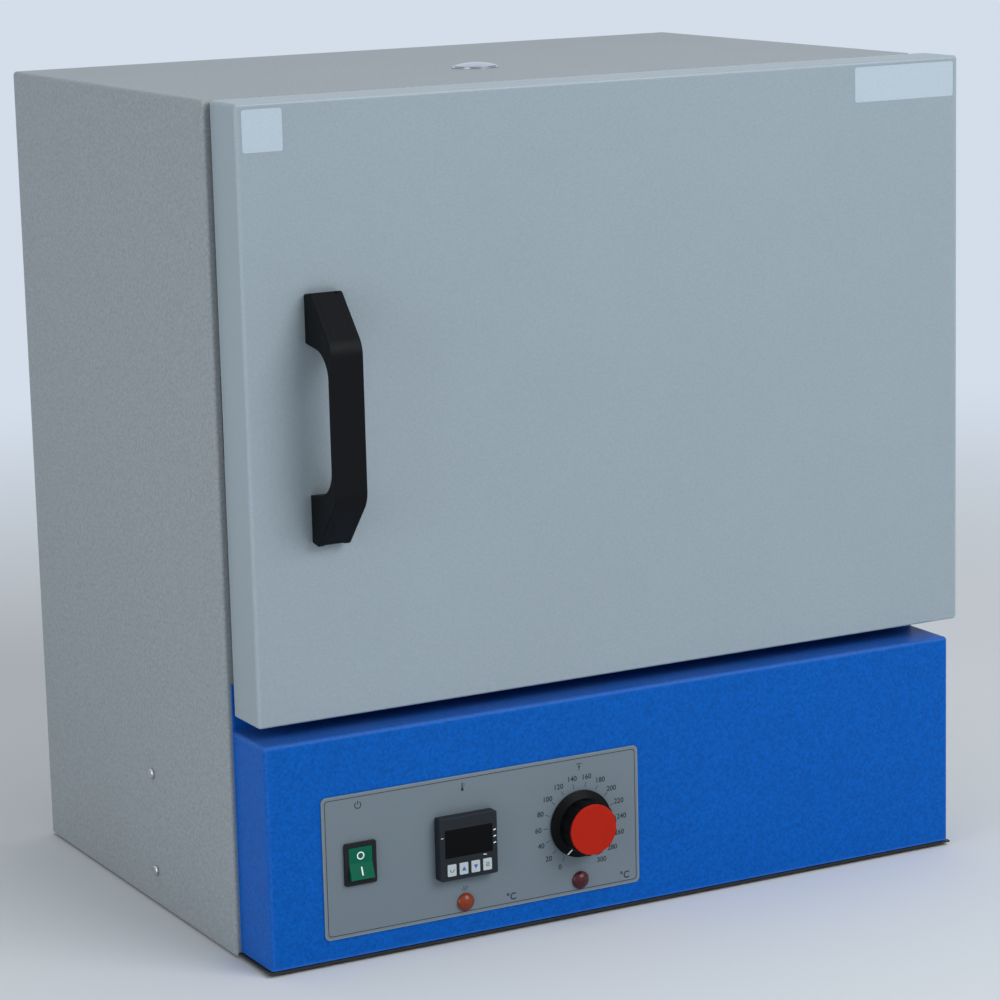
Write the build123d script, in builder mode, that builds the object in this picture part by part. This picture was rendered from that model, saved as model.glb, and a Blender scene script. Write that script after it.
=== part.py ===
from build123d import *
from math import asin, cos, radians, sin
import os

# A bench-top laboratory incubator. The sheet-steel cabinet holds an insulated chamber with two
# wire shelves, behind a side-hung door. A projecting front cover below the door carries the
# controls. The origin is the middle of the base, front cover included, at bench level. +Z is
# up, and the door faces -Y. Sizes are in millimetres.

# Cabinet
casing_width = 606.0
casing_depth = 376.0
casing_height = 630.0
sheet = 1.5
bend_radius = 3.0
flange_width = 18.0
fit_gap = 0.3
running_gap = 0.05
foot_height = 2.5
foot_radius = 14.0
foot_inset = 42.0
tray_flange_height = 40.0
rear_panel_inset = 4.0

# Chamber and its insulation
mouth_side_gap = 14.0
mouth_top_gap = 3.0
chamber_rear_space = 53.3
chamber_sill = 46.3
chamber_corner = 10.0
liner_wall = 1.0
frame_thickness = 1.2
deck_rise = 1.5
deck_flange_height = 84.0
liner_flange_width = 12.0
wool_gap = 0.6

# Shelves and the wire side racks that carry them
upright_radius = 3.0
upright_inset = 34.0
rung_radius = 2.5
rung_bend = 6.0
rung_count = 5
first_rung_height = 70.0
last_rung_gap = 70.0
ladder_end_gap = 20.0
shelf_front_gap = 30.0
shelf_rear_gap = 8.0
shelf_rim_radius = 3.0
shelf_corner = 12.0
shelf_wire_radius = 1.5
shelf_wire_count = 17
shelf_side_gap = 2.0
weld_depth = 0.6
lower_shelf_rung = 1
upper_shelf_rung = 3

# Heating element, its cover and the probes
element_radius = 4.0
element_height = 16.0
element_bend = 22.0
element_leg_spread = 50.0
element_margin = 45.0
element_tail = 30.0
element_cover_height = 32.0
element_cover_side_gap = 12.0
element_cover_thickness = 1.2
cover_slot_bridge = 24.0
cover_slot_width = 8.0
cover_slot_edge = 42.0
cover_slot_columns = 5
cover_slot_rows = 6
probe_radius = 2.5
probe_length = 75.0
probe_flange_radius = 8.0
probe_spacing = 70.0
probe_height = 175.0
probe_tip_round = 2.0
probe_tail = 10.0
probe_flange_thickness = 2.0

# Vent
vent_off_middle = -17.0
vent_from_front = 127.0
vent_bore_radius = 11.2
vent_tube_wall = 1.8
vent_rim_radius = 18.0
vent_rim_thickness = 0.8
vent_cap_radius = 16.2
vent_cap_height = 3.4
vent_cap_edge = 1.0
vent_sleeve_length = 12.0
vent_sleeve_wall = 1.2

# Front cover and control plate
cover_depth = 54.6
cover_inset = 4.0
cover_top_height = 170.5
cover_bottom_gap = 1.0
cover_flange_gap = 1.0
cover_lip_width = 10.0
cover_screw_inset = 60.0
plate_left = 47.0
plate_width = 266.0
plate_bottom_height = 18.0
plate_height = 108.0
plate_corner = 4.0
plate_thickness = 1.0

# Controls, placed from the cabinet's left side and bottom
switch_from_left = 76.5
control_row_height = 73.2
switch_bezel_width = 25.8
switch_bezel_height = 32.0
switch_bezel_thickness = 2.0
switch_bezel_corner = 1.5
switch_body_width = 21.6
switch_body_height = 28.0
switch_body_depth = 22.0
switch_pin_radius = 1.5
rocker_width = 18.6
rocker_radius = 12.5
rocker_corner_angle = 71.0
rocker_back_angle = 115.0
rocker_tilt = 10.0
rocker_valley = 2.0
rocker_side_gap = 0.25
rocker_pocket_reach = 9.4
blade_thickness = 0.8
blade_width = 6.3
blade_length = 7.7

controller_from_left = 162.5
controller_size = 48.0
controller_depth = 8.5
controller_corner = 1.5
controller_case_size = 44.6
controller_case_depth = 92.0
controller_clamp_width = 5.5
controller_clamp_depth = 6.0
window_width = 39.6
window_height = 21.4
window_rise = 4.2
window_thickness = 1.0
key_width = 7.2
key_height = 9.0
key_pitch = 9.9
key_count = 4
key_drop = 15.9
key_thickness = 3.0
key_stand = 0.7
key_edge_radius = 0.3
key_pocket_depth = 4.2
key_side_gap = 0.15

heat_lamp_from_left = 162.5
overtemp_lamp_from_left = 261.0
lamp_height = 28.2
lens_radius = 6.8
lens_base = 1.4
lens_rise = 3.4
lamp_neck_radius = 5.8
lamp_neck_length = 24.0
lamp_nut_radius = 8.0
lamp_nut_thickness = 3.0

knob_from_left = 262.0
knob_height = 72.7
knob_stand = 1.0
skirt_radius = 26.0
skirt_edge = 1.4
skirt_slope_height = 3.2
grip_radius = 20.6
knob_length = 18.5
flute_count = 12
flute_depth = 0.7
flute_radius = 10.0
cap_radius = 19.5
cap_thickness = 1.6
shaft_radius = 3.0
shaft_grip = 13.0
thermostat_size = 36.0
thermostat_depth = 22.0
bush_radius = 5.0
shaft_tail = 12.0

# Door
door_from_left = 5.0
door_overhang = 11.5
door_ledge_gap = 11.2
door_top_gap = 0.3
door_depth = 41.2
door_gap = 3.8
door_return_gap = 0.7
door_edge_radius = 2.5
panel_lap = 8.0
panel_thickness = 1.0
field_margin = 12.0
field_rise = 3.8
field_corner = 12.0
field_slope = 30.0
gasket_inner_gap = 9.5
gasket_width = 11.5
gasket_base = 2.5
gasket_lip_width = 7.0
gasket_corner = 14.0

# Handle
handle_from_left = 66.0
handle_drop = 2.7
handle_width = 26.0
handle_half_length = 91.5
handle_foot_stand = 9.0
handle_draft = 1.5
handle_stand = 40.0
handle_flat_half = 56.0
handle_shoulder_radius = 20.0
handle_foot_inner = 55.0
handle_arch_drop = 5.0
handle_side_stand = 36.0
handle_side_bend = 22.0
handle_back_stand = 27.5
handle_back_bend = 17.0
handle_edge_radius = 1.2
handle_cover_width = 17.0
handle_cover_end = 61.0
handle_cover_depth = 2.2
handle_cover_gap = 0.2
handle_cover_start = 2.1
handle_screw_offset = 74.0
handle_screw_radius = 2.5
handle_head_radius = 4.5
handle_head_height = 3.5
handle_seat_depth = 7.0
handle_screw_reach = 8.0

# Hinges and catch
hinge_axis_out = 5.8
hinge_axis_back = 1.5
knuckle_radius = 4.2
knuckle_length = 30.0
knuckle_gap = 0.3
hinge_pin_radius = 2.5
hinge_pin_length = 54.0
hinge_leaf_thickness = 2.0
hinge_leaf_length = 26.0
hinge_end_inset = 45.0
catch_height = 60.0
catch_inset = 6.2
catch_thickness = 1.6

# Screws
screw_radius = 2.0
screw_head_radius = 4.2
screw_head_height = 2.4
screw_head_round = 1.7
screw_length = 8.0
side_screw_from_front = 148.5
tray_screw_height = 26.0
deck_screw_drop = 68.0
leaf_screw_radius = 1.75
leaf_screw_head_radius = 3.2
leaf_screw_head_height = 1.2
leaf_screw_spacing = 34.0
rear_screw_columns = 3
rear_screw_rows = 4
rear_screw_edge = 9.0

# Rear services and the parts inside the control compartment
louvre_length = 52.0
louvre_width = 4.0
louvre_columns = 5
louvre_rows = 4
louvre_pitch_x = 66.0
louvre_pitch_z = 12.0
louvre_height = 96.0
gland_from_right = 66.0
gland_height = 44.0
gland_bore_radius = 4.2
gland_thread_radius = 8.0
gland_hex_radius = 13.0
gland_hex_length = 9.0
gland_dome_radius = 9.5
gland_dome_length = 10.0
gland_thread_length = 12.0
gland_nut_thickness = 4.0
relay_size = (58.0, 45.0, 23.0)
relay_from_right = 243.0
relay_from_rear = 148.0
relay_terminal_spacing = (43.0, 22.0)
terminal_size = (72.0, 22.0, 20.0)
terminal_from_right = 123.0
terminal_from_rear = 78.0
terminal_count = 6
terminal_screw_radius = 3.0

# Planes and edges that the pieces share
left_x = -casing_width / 2
right_x = casing_width / 2
front_y = (cover_depth - casing_depth) / 2
rear_y = front_y + casing_depth
base_z = foot_height
top_z = base_z + casing_height
inner_half_width = casing_width / 2 - sheet
inner_front_y = front_y + sheet
inner_rear_y = rear_y - sheet
inner_top_z = top_z - sheet

tray_top_z = base_z + sheet
cover_top_z = base_z + cover_top_height
deck_z = cover_top_z + deck_rise
deck_top_z = deck_z + sheet
door_bottom_z = cover_top_z + door_ledge_gap
door_top_z = top_z - door_top_gap

# The chamber's mouth lies inside the gasket, and the gasket inside the casing's flanges
gasket_reach = gasket_inner_gap + gasket_width
chamber_width = casing_width - 2 * (flange_width + mouth_side_gap + gasket_reach)
chamber_floor_z = door_bottom_z + chamber_sill
chamber_top_z = top_z - flange_width - mouth_top_gap - gasket_reach
chamber_height = chamber_top_z - chamber_floor_z
chamber_middle_z = (chamber_floor_z + chamber_top_z) / 2
gasket_half_width = chamber_width / 2 + gasket_reach
gasket_low_z = chamber_floor_z - gasket_reach
gasket_high_z = chamber_top_z + gasket_reach
liner_front_y = inner_front_y + frame_thickness
chamber_rear_y = rear_y - chamber_rear_space
chamber_depth = chamber_rear_y - liner_front_y
liner_rear_y = chamber_rear_y + liner_wall
liner_half_width = chamber_width / 2 + liner_wall

vent_x = vent_off_middle
vent_y = front_y + vent_from_front
vent_tube_radius = vent_bore_radius + vent_tube_wall
vent_seat_z = top_z + vent_rim_thickness

cover_front_y = front_y - cover_depth
cover_width = casing_width - 2 * cover_inset
cover_bottom_z = tray_top_z + cover_bottom_gap
cover_flange_top_z = gasket_low_z - cover_flange_gap
cover_back_y = cover_front_y + sheet
plate_front_y = cover_front_y - plate_thickness
plate_x = left_x + plate_left + plate_width / 2
plate_z = base_z + plate_bottom_height + plate_height / 2

switch_x = left_x + switch_from_left
control_z = base_z + control_row_height
controller_x = left_x + controller_from_left
controller_front_y = plate_front_y - controller_depth
heat_lamp_x = left_x + heat_lamp_from_left
overtemp_lamp_x = left_x + overtemp_lamp_from_left
lamp_z = base_z + lamp_height
knob_x = left_x + knob_from_left
knob_z = base_z + knob_height

door_left_x = left_x + door_from_left
door_right_x = right_x + door_overhang
door_back_y = front_y - door_gap
door_front_y = door_back_y - door_depth
panel_y = door_back_y - sheet

handle_x = left_x + handle_from_left
handle_z = (door_bottom_z + door_top_z) / 2 - handle_drop

hinge_x = right_x + hinge_axis_out
hinge_y = front_y + hinge_axis_back
leaf_back_y = hinge_y + knuckle_radius
leaf_screw_y = leaf_back_y + hinge_leaf_length / 2
door_screw_x = hinge_x - hinge_leaf_length / 2
hinge_bottoms = (
    door_bottom_z + hinge_end_inset,
    door_top_z - hinge_end_inset - 2 * knuckle_length - knuckle_gap,
)

side_screw_y = front_y + side_screw_from_front
tray_screw_z = base_z + tray_screw_height
deck_screw_z = deck_z - deck_screw_drop
gland_x = right_x - gland_from_right
gland_z = base_z + gland_height
relay_x = right_x - relay_from_right
relay_y = rear_y - relay_from_rear
terminal_x = right_x - terminal_from_right
terminal_y = rear_y - terminal_from_rear

element_z = chamber_floor_z + element_height
element_rear_y = chamber_rear_y - element_margin
element_front_y = liner_front_y + element_margin
element_half_width = chamber_width / 2 - element_margin
probe_z = chamber_floor_z + probe_height

ladder_front_y = liner_front_y + upright_inset
ladder_rear_y = chamber_rear_y - upright_inset
upright_x = chamber_width / 2 - fit_gap - upright_radius
first_rung_z = chamber_floor_z + first_rung_height
rung_pitch = (chamber_height - first_rung_height - last_rung_gap) / (rung_count - 1)
shelf_rear_y = chamber_rear_y - shelf_rear_gap
shelf_front_y = liner_front_y + shelf_front_gap
shelf_depth = shelf_rear_y - shelf_front_y
shelf_half_width = upright_x - upright_radius - shelf_side_gap
rung_x = shelf_half_width - shelf_rim_radius


def facing_front(y):
    """The plane at this y that faces the user, with x to the right and z up."""
    return Plane.XZ.offset(-y)


def dome_middle(radius, base, rise):
    """The point halfway up a dome's arc, from its edge at (radius, base) to its crown."""
    arc_radius = (radius**2 + rise**2) / (2 * rise)
    half_turn = asin(radius / arc_radius) / 2
    return (arc_radius * sin(half_turn), base + rise - arc_radius * (1 - cos(half_turn)))


def slab(low, high):
    """A box between two corners, added to the part that is being built."""
    size = [b - a for a, b in zip(low, high)]
    middle = tuple((a + b) / 2 for a, b in zip(low, high))
    with Locations(middle):
        Box(*size)


def slot_out(low, high):
    """A box between two corners, cut from the part that is being built."""
    size = [b - a for a, b in zip(low, high)]
    middle = tuple((a + b) / 2 for a, b in zip(low, high))
    with Locations(middle):
        Box(*size, mode=Mode.SUBTRACT)


def rod_along_y(x, z, radius, y_from, y_to, mode=Mode.ADD):
    """A round rod, or a hole, that runs along Y."""
    with Locations(Location((x, (y_from + y_to) / 2, z), (90, 0, 0))):
        Cylinder(radius, y_to - y_from, mode=mode)


os.makedirs("parts", exist_ok=True)

# Outer casing: top and sides folded from one sheet, with flanges turned in at front and rear
with BuildPart() as outer_casing:
    with BuildSketch(facing_front(front_y)) as casing_end:
        with Locations((0, (base_z + top_z) / 2)):
            Rectangle(casing_width, casing_height)
        fillet(casing_end.vertices().group_by(Axis.Y)[-1], bend_radius)
    extrude(amount=-casing_depth)
    casing_ends = outer_casing.faces().filter_by(Axis.Y)
    casing_rim = casing_ends.edges().filter_by(lambda edge: edge.center().Z > base_z + 1)
    fillet(casing_rim, bend_radius - fit_gap)
    with BuildSketch(facing_front(inner_front_y)) as casing_bore:
        with Locations((0, inner_top_z / 2)):
            Rectangle(2 * inner_half_width, inner_top_z)
        fillet(casing_bore.vertices().group_by(Axis.Y)[-1], bend_radius - sheet)
    extrude(amount=-(inner_rear_y - inner_front_y), mode=Mode.SUBTRACT)
    mouth_half = casing_width / 2 - flange_width
    slot_out((-mouth_half, front_y - 1, 0), (mouth_half, rear_y + 1, top_z - flange_width))
    slot_out(
        (-inner_half_width, front_y - 1, 0),
        (inner_half_width, rear_y + 1, tray_top_z + fit_gap),
    )
    with Locations((vent_x, vent_y, top_z)):
        Cylinder(vent_tube_radius + fit_gap, 4 * sheet, mode=Mode.SUBTRACT)
    for z in (tray_screw_z, deck_screw_z):
        with Locations(Location((0, side_screw_y, z), (0, 90, 0))):
            Cylinder(screw_radius + running_gap, casing_width + 1, mode=Mode.SUBTRACT)
    for bottom in hinge_bottoms:
        for along in (-leaf_screw_spacing / 2, leaf_screw_spacing / 2):
            place = (right_x, leaf_screw_y, bottom + knuckle_length + along)
            with Locations(Location(place, (0, 90, 0))):
                Cylinder(leaf_screw_radius + running_gap, 4 * sheet, mode=Mode.SUBTRACT)
outer_casing.part.label = "outer_casing"
export_step(outer_casing.part, "parts/outer_casing.step")

# Base tray: the floor of the cabinet, which runs forward under the front cover
tray_half_width = inner_half_width - fit_gap
with BuildPart() as base_tray:
    slab((-tray_half_width, cover_front_y, base_z), (tray_half_width, rear_y, tray_top_z))
    for side in (-1, 1):
        outer = side * tray_half_width
        inner = side * (tray_half_width - sheet)
        slab(
            (min(outer, inner), inner_front_y + fit_gap, base_z),
            (max(outer, inner), inner_rear_y - fit_gap, base_z + tray_flange_height),
        )
    with Locations(Location((0, side_screw_y, tray_screw_z), (0, 90, 0))):
        Cylinder(screw_radius + running_gap, casing_width, mode=Mode.SUBTRACT)
base_tray.part.label = "base_tray"
export_step(base_tray.part, "parts/base_tray.step")

# Feet: four low pads under the tray
foot_x = casing_width / 2 - foot_inset
foot_places = [
    (side * foot_x, y, 0)
    for side in (-1, 1)
    for y in (front_y - cover_depth + foot_inset, rear_y - foot_inset)
]
with BuildPart() as feet:
    for place in foot_places:
        with Locations(place):
            Cylinder(foot_radius, foot_height, align=(Align.CENTER, Align.CENTER, Align.MIN))
    chamfer(feet.edges().filter_by(GeomType.CIRCLE).group_by(Axis.Z)[0], foot_height / 4)
feet.part.label = "feet"
export_step(feet.part, "parts/feet.step")

# Rear panel with its louvre slots, screwed to the casing's rear flanges
rear_half_width = casing_width / 2 - rear_panel_inset
rear_low_z = base_z + rear_panel_inset
rear_high_z = top_z - rear_panel_inset
rear_screw_pitch_x = (2 * rear_half_width - 2 * rear_screw_edge) / (rear_screw_columns - 1)
rear_screw_pitch_z = (rear_high_z - rear_low_z - 2 * rear_screw_edge) / (rear_screw_rows - 1)
rear_screw_places = [
    (column * rear_screw_pitch_x, rear_low_z + rear_screw_edge + row * rear_screw_pitch_z)
    for column in (-1, 0, 1)
    for row in range(rear_screw_rows)
    if column != 0 or row == rear_screw_rows - 1
]
with BuildPart() as rear_panel:
    slab((-rear_half_width, rear_y, rear_low_z), (rear_half_width, rear_y + sheet, rear_high_z))
    chamfer(rear_panel.edges().filter_by(Axis.Y), bend_radius)
    with BuildSketch(facing_front(rear_y)):
        with Locations((0, base_z + louvre_height)):
            with GridLocations(louvre_pitch_x, louvre_pitch_z, louvre_columns, louvre_rows):
                SlotOverall(louvre_length, louvre_width)
        with Locations(*rear_screw_places):
            Circle(screw_radius + running_gap)
        with Locations((gland_x, gland_z)):
            Circle(gland_thread_radius + fit_gap)
    extrude(amount=-sheet, mode=Mode.SUBTRACT)
rear_panel.part.label = "rear_panel"
export_step(rear_panel.part, "parts/rear_panel.step")

# Control deck: the shelf between the chamber and the control compartment
with BuildPart() as control_deck:
    deck_half_width = inner_half_width - fit_gap
    slab(
        (-deck_half_width, inner_front_y + fit_gap, deck_z),
        (deck_half_width, inner_rear_y - fit_gap, deck_top_z),
    )
    for side in (-1, 1):
        outer = side * deck_half_width
        inner = side * (deck_half_width - sheet)
        slab(
            (min(outer, inner), inner_front_y + fit_gap, deck_z - deck_flange_height),
            (max(outer, inner), inner_rear_y - fit_gap, deck_z),
        )
    with Locations(Location((0, side_screw_y, deck_screw_z), (0, 90, 0))):
        Cylinder(screw_radius + running_gap, casing_width, mode=Mode.SUBTRACT)
control_deck.part.label = "control_deck"
export_step(control_deck.part, "parts/control_deck.step")

# Front frame: the painted face round the chamber's mouth
with BuildPart() as front_frame:
    with BuildSketch(facing_front(inner_front_y)) as frame_face:
        with Locations((0, (deck_top_z + inner_top_z) / 2)):
            Rectangle(2 * inner_half_width - 2 * fit_gap, inner_top_z - deck_top_z - 2 * fit_gap)
        fillet(frame_face.vertices(), bend_radius - sheet)
        with Locations((0, chamber_middle_z)):
            RectangleRounded(chamber_width, chamber_height, chamber_corner, mode=Mode.SUBTRACT)
    extrude(amount=-frame_thickness)
front_frame.part.label = "front_frame"
export_step(front_frame.part, "parts/front_frame.step")

# Chamber liner: a bright steel box, open to the front, with a flange behind the front frame
with BuildPart() as chamber_liner:
    with BuildSketch(facing_front(liner_front_y)):
        with Locations((0, chamber_middle_z)):
            RectangleRounded(
                chamber_width + 2 * liner_wall,
                chamber_height + 2 * liner_wall,
                chamber_corner + liner_wall,
            )
    extrude(amount=-(chamber_depth + liner_wall))
    with BuildSketch(facing_front(liner_front_y)):
        with Locations((0, chamber_middle_z)):
            RectangleRounded(
                chamber_width + 2 * liner_flange_width,
                chamber_height + 2 * liner_flange_width,
                chamber_corner + liner_flange_width,
            )
    extrude(amount=-liner_wall)
    with BuildSketch(facing_front(liner_front_y)):
        with Locations((0, chamber_middle_z)):
            RectangleRounded(chamber_width, chamber_height, chamber_corner)
    extrude(amount=-chamber_depth, mode=Mode.SUBTRACT)
    with Locations((vent_x, vent_y, chamber_top_z)):
        Cylinder(vent_tube_radius + fit_gap, 4 * liner_wall, mode=Mode.SUBTRACT)
    with BuildSketch(facing_front(chamber_rear_y)):
        with Locations((-element_leg_spread / 2, element_z), (element_leg_spread / 2, element_z)):
            Circle(element_radius + fit_gap)
        with Locations((-probe_spacing / 2, probe_z), (probe_spacing / 2, probe_z)):
            Circle(probe_radius + fit_gap)
    extrude(amount=-2 * liner_wall, both=True, mode=Mode.SUBTRACT)
chamber_liner.part.label = "chamber_liner"
export_step(chamber_liner.part, "parts/chamber_liner.step")

# Insulation: five wool slabs between the liner and the casing
wool_front_y = liner_front_y + liner_wall + fit_gap
wool_rear_y = inner_rear_y - wool_gap
wool_low_z = deck_top_z + fit_gap
wool_high_z = inner_top_z - wool_gap
wool_half_width = inner_half_width - wool_gap
liner_low_z = chamber_floor_z - liner_wall
liner_high_z = chamber_top_z + liner_wall
with BuildPart() as chamber_insulation:
    for side in (-1, 1):
        outer = side * wool_half_width
        inner = side * (liner_half_width + fit_gap)
        slab(
            (min(outer, inner), wool_front_y, wool_low_z),
            (max(outer, inner), wool_rear_y, wool_high_z),
        )
    slab(
        (-liner_half_width, wool_front_y, wool_low_z),
        (liner_half_width, wool_rear_y, liner_low_z - fit_gap),
    )
    slab(
        (-liner_half_width, wool_front_y, liner_high_z + fit_gap),
        (liner_half_width, wool_rear_y, wool_high_z),
    )
    slab(
        (-liner_half_width, liner_rear_y + fit_gap, liner_low_z),
        (liner_half_width, wool_rear_y, liner_high_z),
    )
    roof_wool = wool_high_z - liner_high_z
    with Locations((vent_x, vent_y, liner_high_z + roof_wool / 2)):
        Cylinder(vent_tube_radius + fit_gap, roof_wool + 2 * fit_gap, mode=Mode.SUBTRACT)
    for x in (-element_leg_spread / 2, element_leg_spread / 2):
        rod_along_y(
            x, element_z, element_radius + fit_gap, liner_rear_y, rear_y, mode=Mode.SUBTRACT
        )
    for x in (-probe_spacing / 2, probe_spacing / 2):
        rod_along_y(x, probe_z, probe_radius + fit_gap, liner_rear_y, rear_y, mode=Mode.SUBTRACT)
chamber_insulation.part.label = "chamber_insulation"
export_step(chamber_insulation.part, "parts/chamber_insulation.step")


def shelf_ladder(side):
    """One wire side rack: two uprights on the chamber wall, and a rung for each shelf level."""
    wall_x = side * upright_x
    shelf_x = side * rung_x
    with BuildPart() as ladder:
        for y in (ladder_front_y, ladder_rear_y):
            with Locations((wall_x, y, chamber_middle_z)):
                Cylinder(upright_radius, chamber_height - 2 * ladder_end_gap)
        for level in range(rung_count):
            z = first_rung_z + level * rung_pitch
            with BuildLine() as rung_line:
                FilletPolyline(
                    (wall_x, ladder_front_y, z),
                    (shelf_x, ladder_front_y, z),
                    (shelf_x, ladder_rear_y, z),
                    (wall_x, ladder_rear_y, z),
                    radius=rung_bend,
                )
            with BuildSketch(Plane(origin=rung_line.line @ 0, z_dir=rung_line.line % 0)):
                Circle(rung_radius)
            sweep()
    return ladder.part


for name, side in (("shelf_ladder_left", -1), ("shelf_ladder_right", 1)):
    ladder_part = shelf_ladder(side)
    ladder_part.label = name
    export_step(ladder_part, f"parts/{name}.step")


def wire_shelf(rung):
    """A wire shelf that lies on the rungs of this number, counted from the bottom."""
    rim_z = first_rung_z + rung * rung_pitch + rung_radius + shelf_rim_radius + fit_gap
    rim_x = shelf_half_width - shelf_rim_radius
    wire_z = rim_z + shelf_rim_radius + shelf_wire_radius - weld_depth
    wire_pitch = 2 * rim_x / (shelf_wire_count + 1)
    with BuildPart() as shelf:
        with BuildLine() as rim_line:
            FilletPolyline(
                (-rim_x, shelf_front_y, rim_z),
                (rim_x, shelf_front_y, rim_z),
                (rim_x, shelf_rear_y, rim_z),
                (-rim_x, shelf_rear_y, rim_z),
                radius=shelf_corner,
                close=True,
            )
        with BuildSketch(Plane(origin=rim_line.line @ 0, z_dir=rim_line.line % 0)):
            Circle(shelf_rim_radius)
        sweep()
        for third in (1, 2):
            y = shelf_front_y + third * shelf_depth / 3
            with Locations(Location((0, y, rim_z), (0, 90, 0))):
                Cylinder(shelf_wire_radius + weld_depth, 2 * rim_x)
        for wire in range(shelf_wire_count):
            x = (wire + 1) * wire_pitch - rim_x
            rod_along_y(x, wire_z, shelf_wire_radius, shelf_front_y, shelf_rear_y)
    return shelf.part


for name, rung in (("lower_shelf", lower_shelf_rung), ("upper_shelf", upper_shelf_rung)):
    shelf_part = wire_shelf(rung)
    shelf_part.label = name
    export_step(shelf_part, f"parts/{name}.step")

# Heating element: one sheathed loop round the chamber floor, with both legs out at the rear
with BuildPart() as heating_element:
    with BuildLine() as element_line:
        FilletPolyline(
            (-element_leg_spread / 2, chamber_rear_y + element_tail, element_z),
            (-element_leg_spread / 2, element_rear_y, element_z),
            (-element_half_width, element_rear_y, element_z),
            (-element_half_width, element_front_y, element_z),
            (element_half_width, element_front_y, element_z),
            (element_half_width, element_rear_y, element_z),
            (element_leg_spread / 2, element_rear_y, element_z),
            (element_leg_spread / 2, chamber_rear_y + element_tail, element_z),
            radius=element_bend,
        )
    with BuildSketch(Plane(origin=element_line.line @ 0, z_dir=element_line.line % 0)):
        Circle(element_radius)
    sweep()
heating_element.part.label = "heating_element"
export_step(heating_element.part, "parts/heating_element.step")

# Element cover: a slotted false floor on two folded legs
cover_plate_half = chamber_width / 2 - element_cover_side_gap
cover_plate_front_y = liner_front_y + element_cover_side_gap
cover_plate_rear_y = chamber_rear_y - element_cover_side_gap
cover_slot_row = 2 * (cover_plate_half - cover_slot_edge)
cover_slot_pitch_x = (cover_slot_row + cover_slot_bridge) / cover_slot_columns
cover_slot_length = cover_slot_pitch_x - cover_slot_bridge
cover_slot_span_y = cover_plate_rear_y - cover_plate_front_y - 2 * cover_slot_edge
cover_slot_pitch_y = (cover_slot_span_y - cover_slot_width) / (cover_slot_rows - 1)
with BuildPart() as element_cover:
    slab(
        (-cover_plate_half, cover_plate_front_y, chamber_floor_z),
        (cover_plate_half, cover_plate_rear_y, chamber_floor_z + element_cover_height),
    )
    fillet(element_cover.edges().filter_by(Axis.Y).group_by(Axis.Z)[-1], bend_radius)
    slot_out(
        (-cover_plate_half + element_cover_thickness, cover_plate_front_y - 1, 0),
        (
            cover_plate_half - element_cover_thickness,
            cover_plate_rear_y + 1,
            chamber_floor_z + element_cover_height - element_cover_thickness,
        ),
    )
    with BuildSketch(Plane.XY.offset(chamber_floor_z + element_cover_height)):
        with Locations((0, (cover_plate_front_y + cover_plate_rear_y) / 2)):
            with GridLocations(
                cover_slot_pitch_x, cover_slot_pitch_y, cover_slot_columns, cover_slot_rows
            ):
                SlotOverall(cover_slot_length, cover_slot_width)
    extrude(amount=-2 * element_cover_thickness, mode=Mode.SUBTRACT)
element_cover.part.label = "element_cover"
export_step(element_cover.part, "parts/element_cover.step")

# Probes: the control sensor and the safety sensor, side by side through the rear wall
for name, side in (("control_probe", -1), ("safety_probe", 1)):
    probe_x = side * probe_spacing / 2
    with BuildPart() as probe:
        rod_along_y(
            probe_x, probe_z, probe_radius, chamber_rear_y - probe_length, liner_rear_y + probe_tail
        )
        fillet(probe.edges().group_by(Axis.Y)[0], probe_tip_round)
        flange_y = chamber_rear_y - probe_flange_thickness
        rod_along_y(probe_x, probe_z, probe_flange_radius, flange_y, chamber_rear_y)
    probe.part.label = name
    export_step(probe.part, f"parts/{name}.step")

# Vent tube from the chamber's ceiling to the top of the casing, with a rim
with BuildPart() as vent_tube:
    with BuildSketch(Plane((vent_x, vent_y, 0), x_dir=(1, 0, 0), z_dir=(0, -1, 0))):
        with BuildLine():
            Polyline(
                (vent_bore_radius, chamber_top_z),
                (vent_tube_radius, chamber_top_z),
                (vent_tube_radius, top_z),
                (vent_rim_radius, top_z),
                (vent_rim_radius, vent_seat_z),
                (vent_bore_radius, vent_seat_z),
                close=True,
            )
        make_face()
    revolve(axis=Axis((vent_x, vent_y, 0), (0, 0, 1)))
vent_tube.part.label = "vent_tube"
export_step(vent_tube.part, "parts/vent_tube.step")

# Vent cap: a low dome with a sleeve that slides in the tube
sleeve_radius = vent_bore_radius - running_gap
with BuildPart() as vent_cap:
    with BuildSketch(Plane((vent_x, vent_y, vent_seat_z), x_dir=(1, 0, 0), z_dir=(0, -1, 0))):
        with BuildLine():
            Polyline(
                (0, 0),
                (sleeve_radius - vent_sleeve_wall, 0),
                (sleeve_radius - vent_sleeve_wall, -vent_sleeve_length),
                (sleeve_radius, -vent_sleeve_length),
                (sleeve_radius, 0),
                (vent_cap_radius, 0),
                (vent_cap_radius, vent_cap_edge),
            )
            ThreePointArc(
                (vent_cap_radius, vent_cap_edge),
                dome_middle(vent_cap_radius, vent_cap_edge, vent_cap_height - vent_cap_edge),
                (0, vent_cap_height),
            )
            Line((0, vent_cap_height), (0, 0))
        make_face()
    revolve(axis=Axis((vent_x, vent_y, 0), (0, 0, 1)))
vent_cap.part.label = "vent_cap"
export_step(vent_cap.part, "parts/vent_cap.step")

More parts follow.
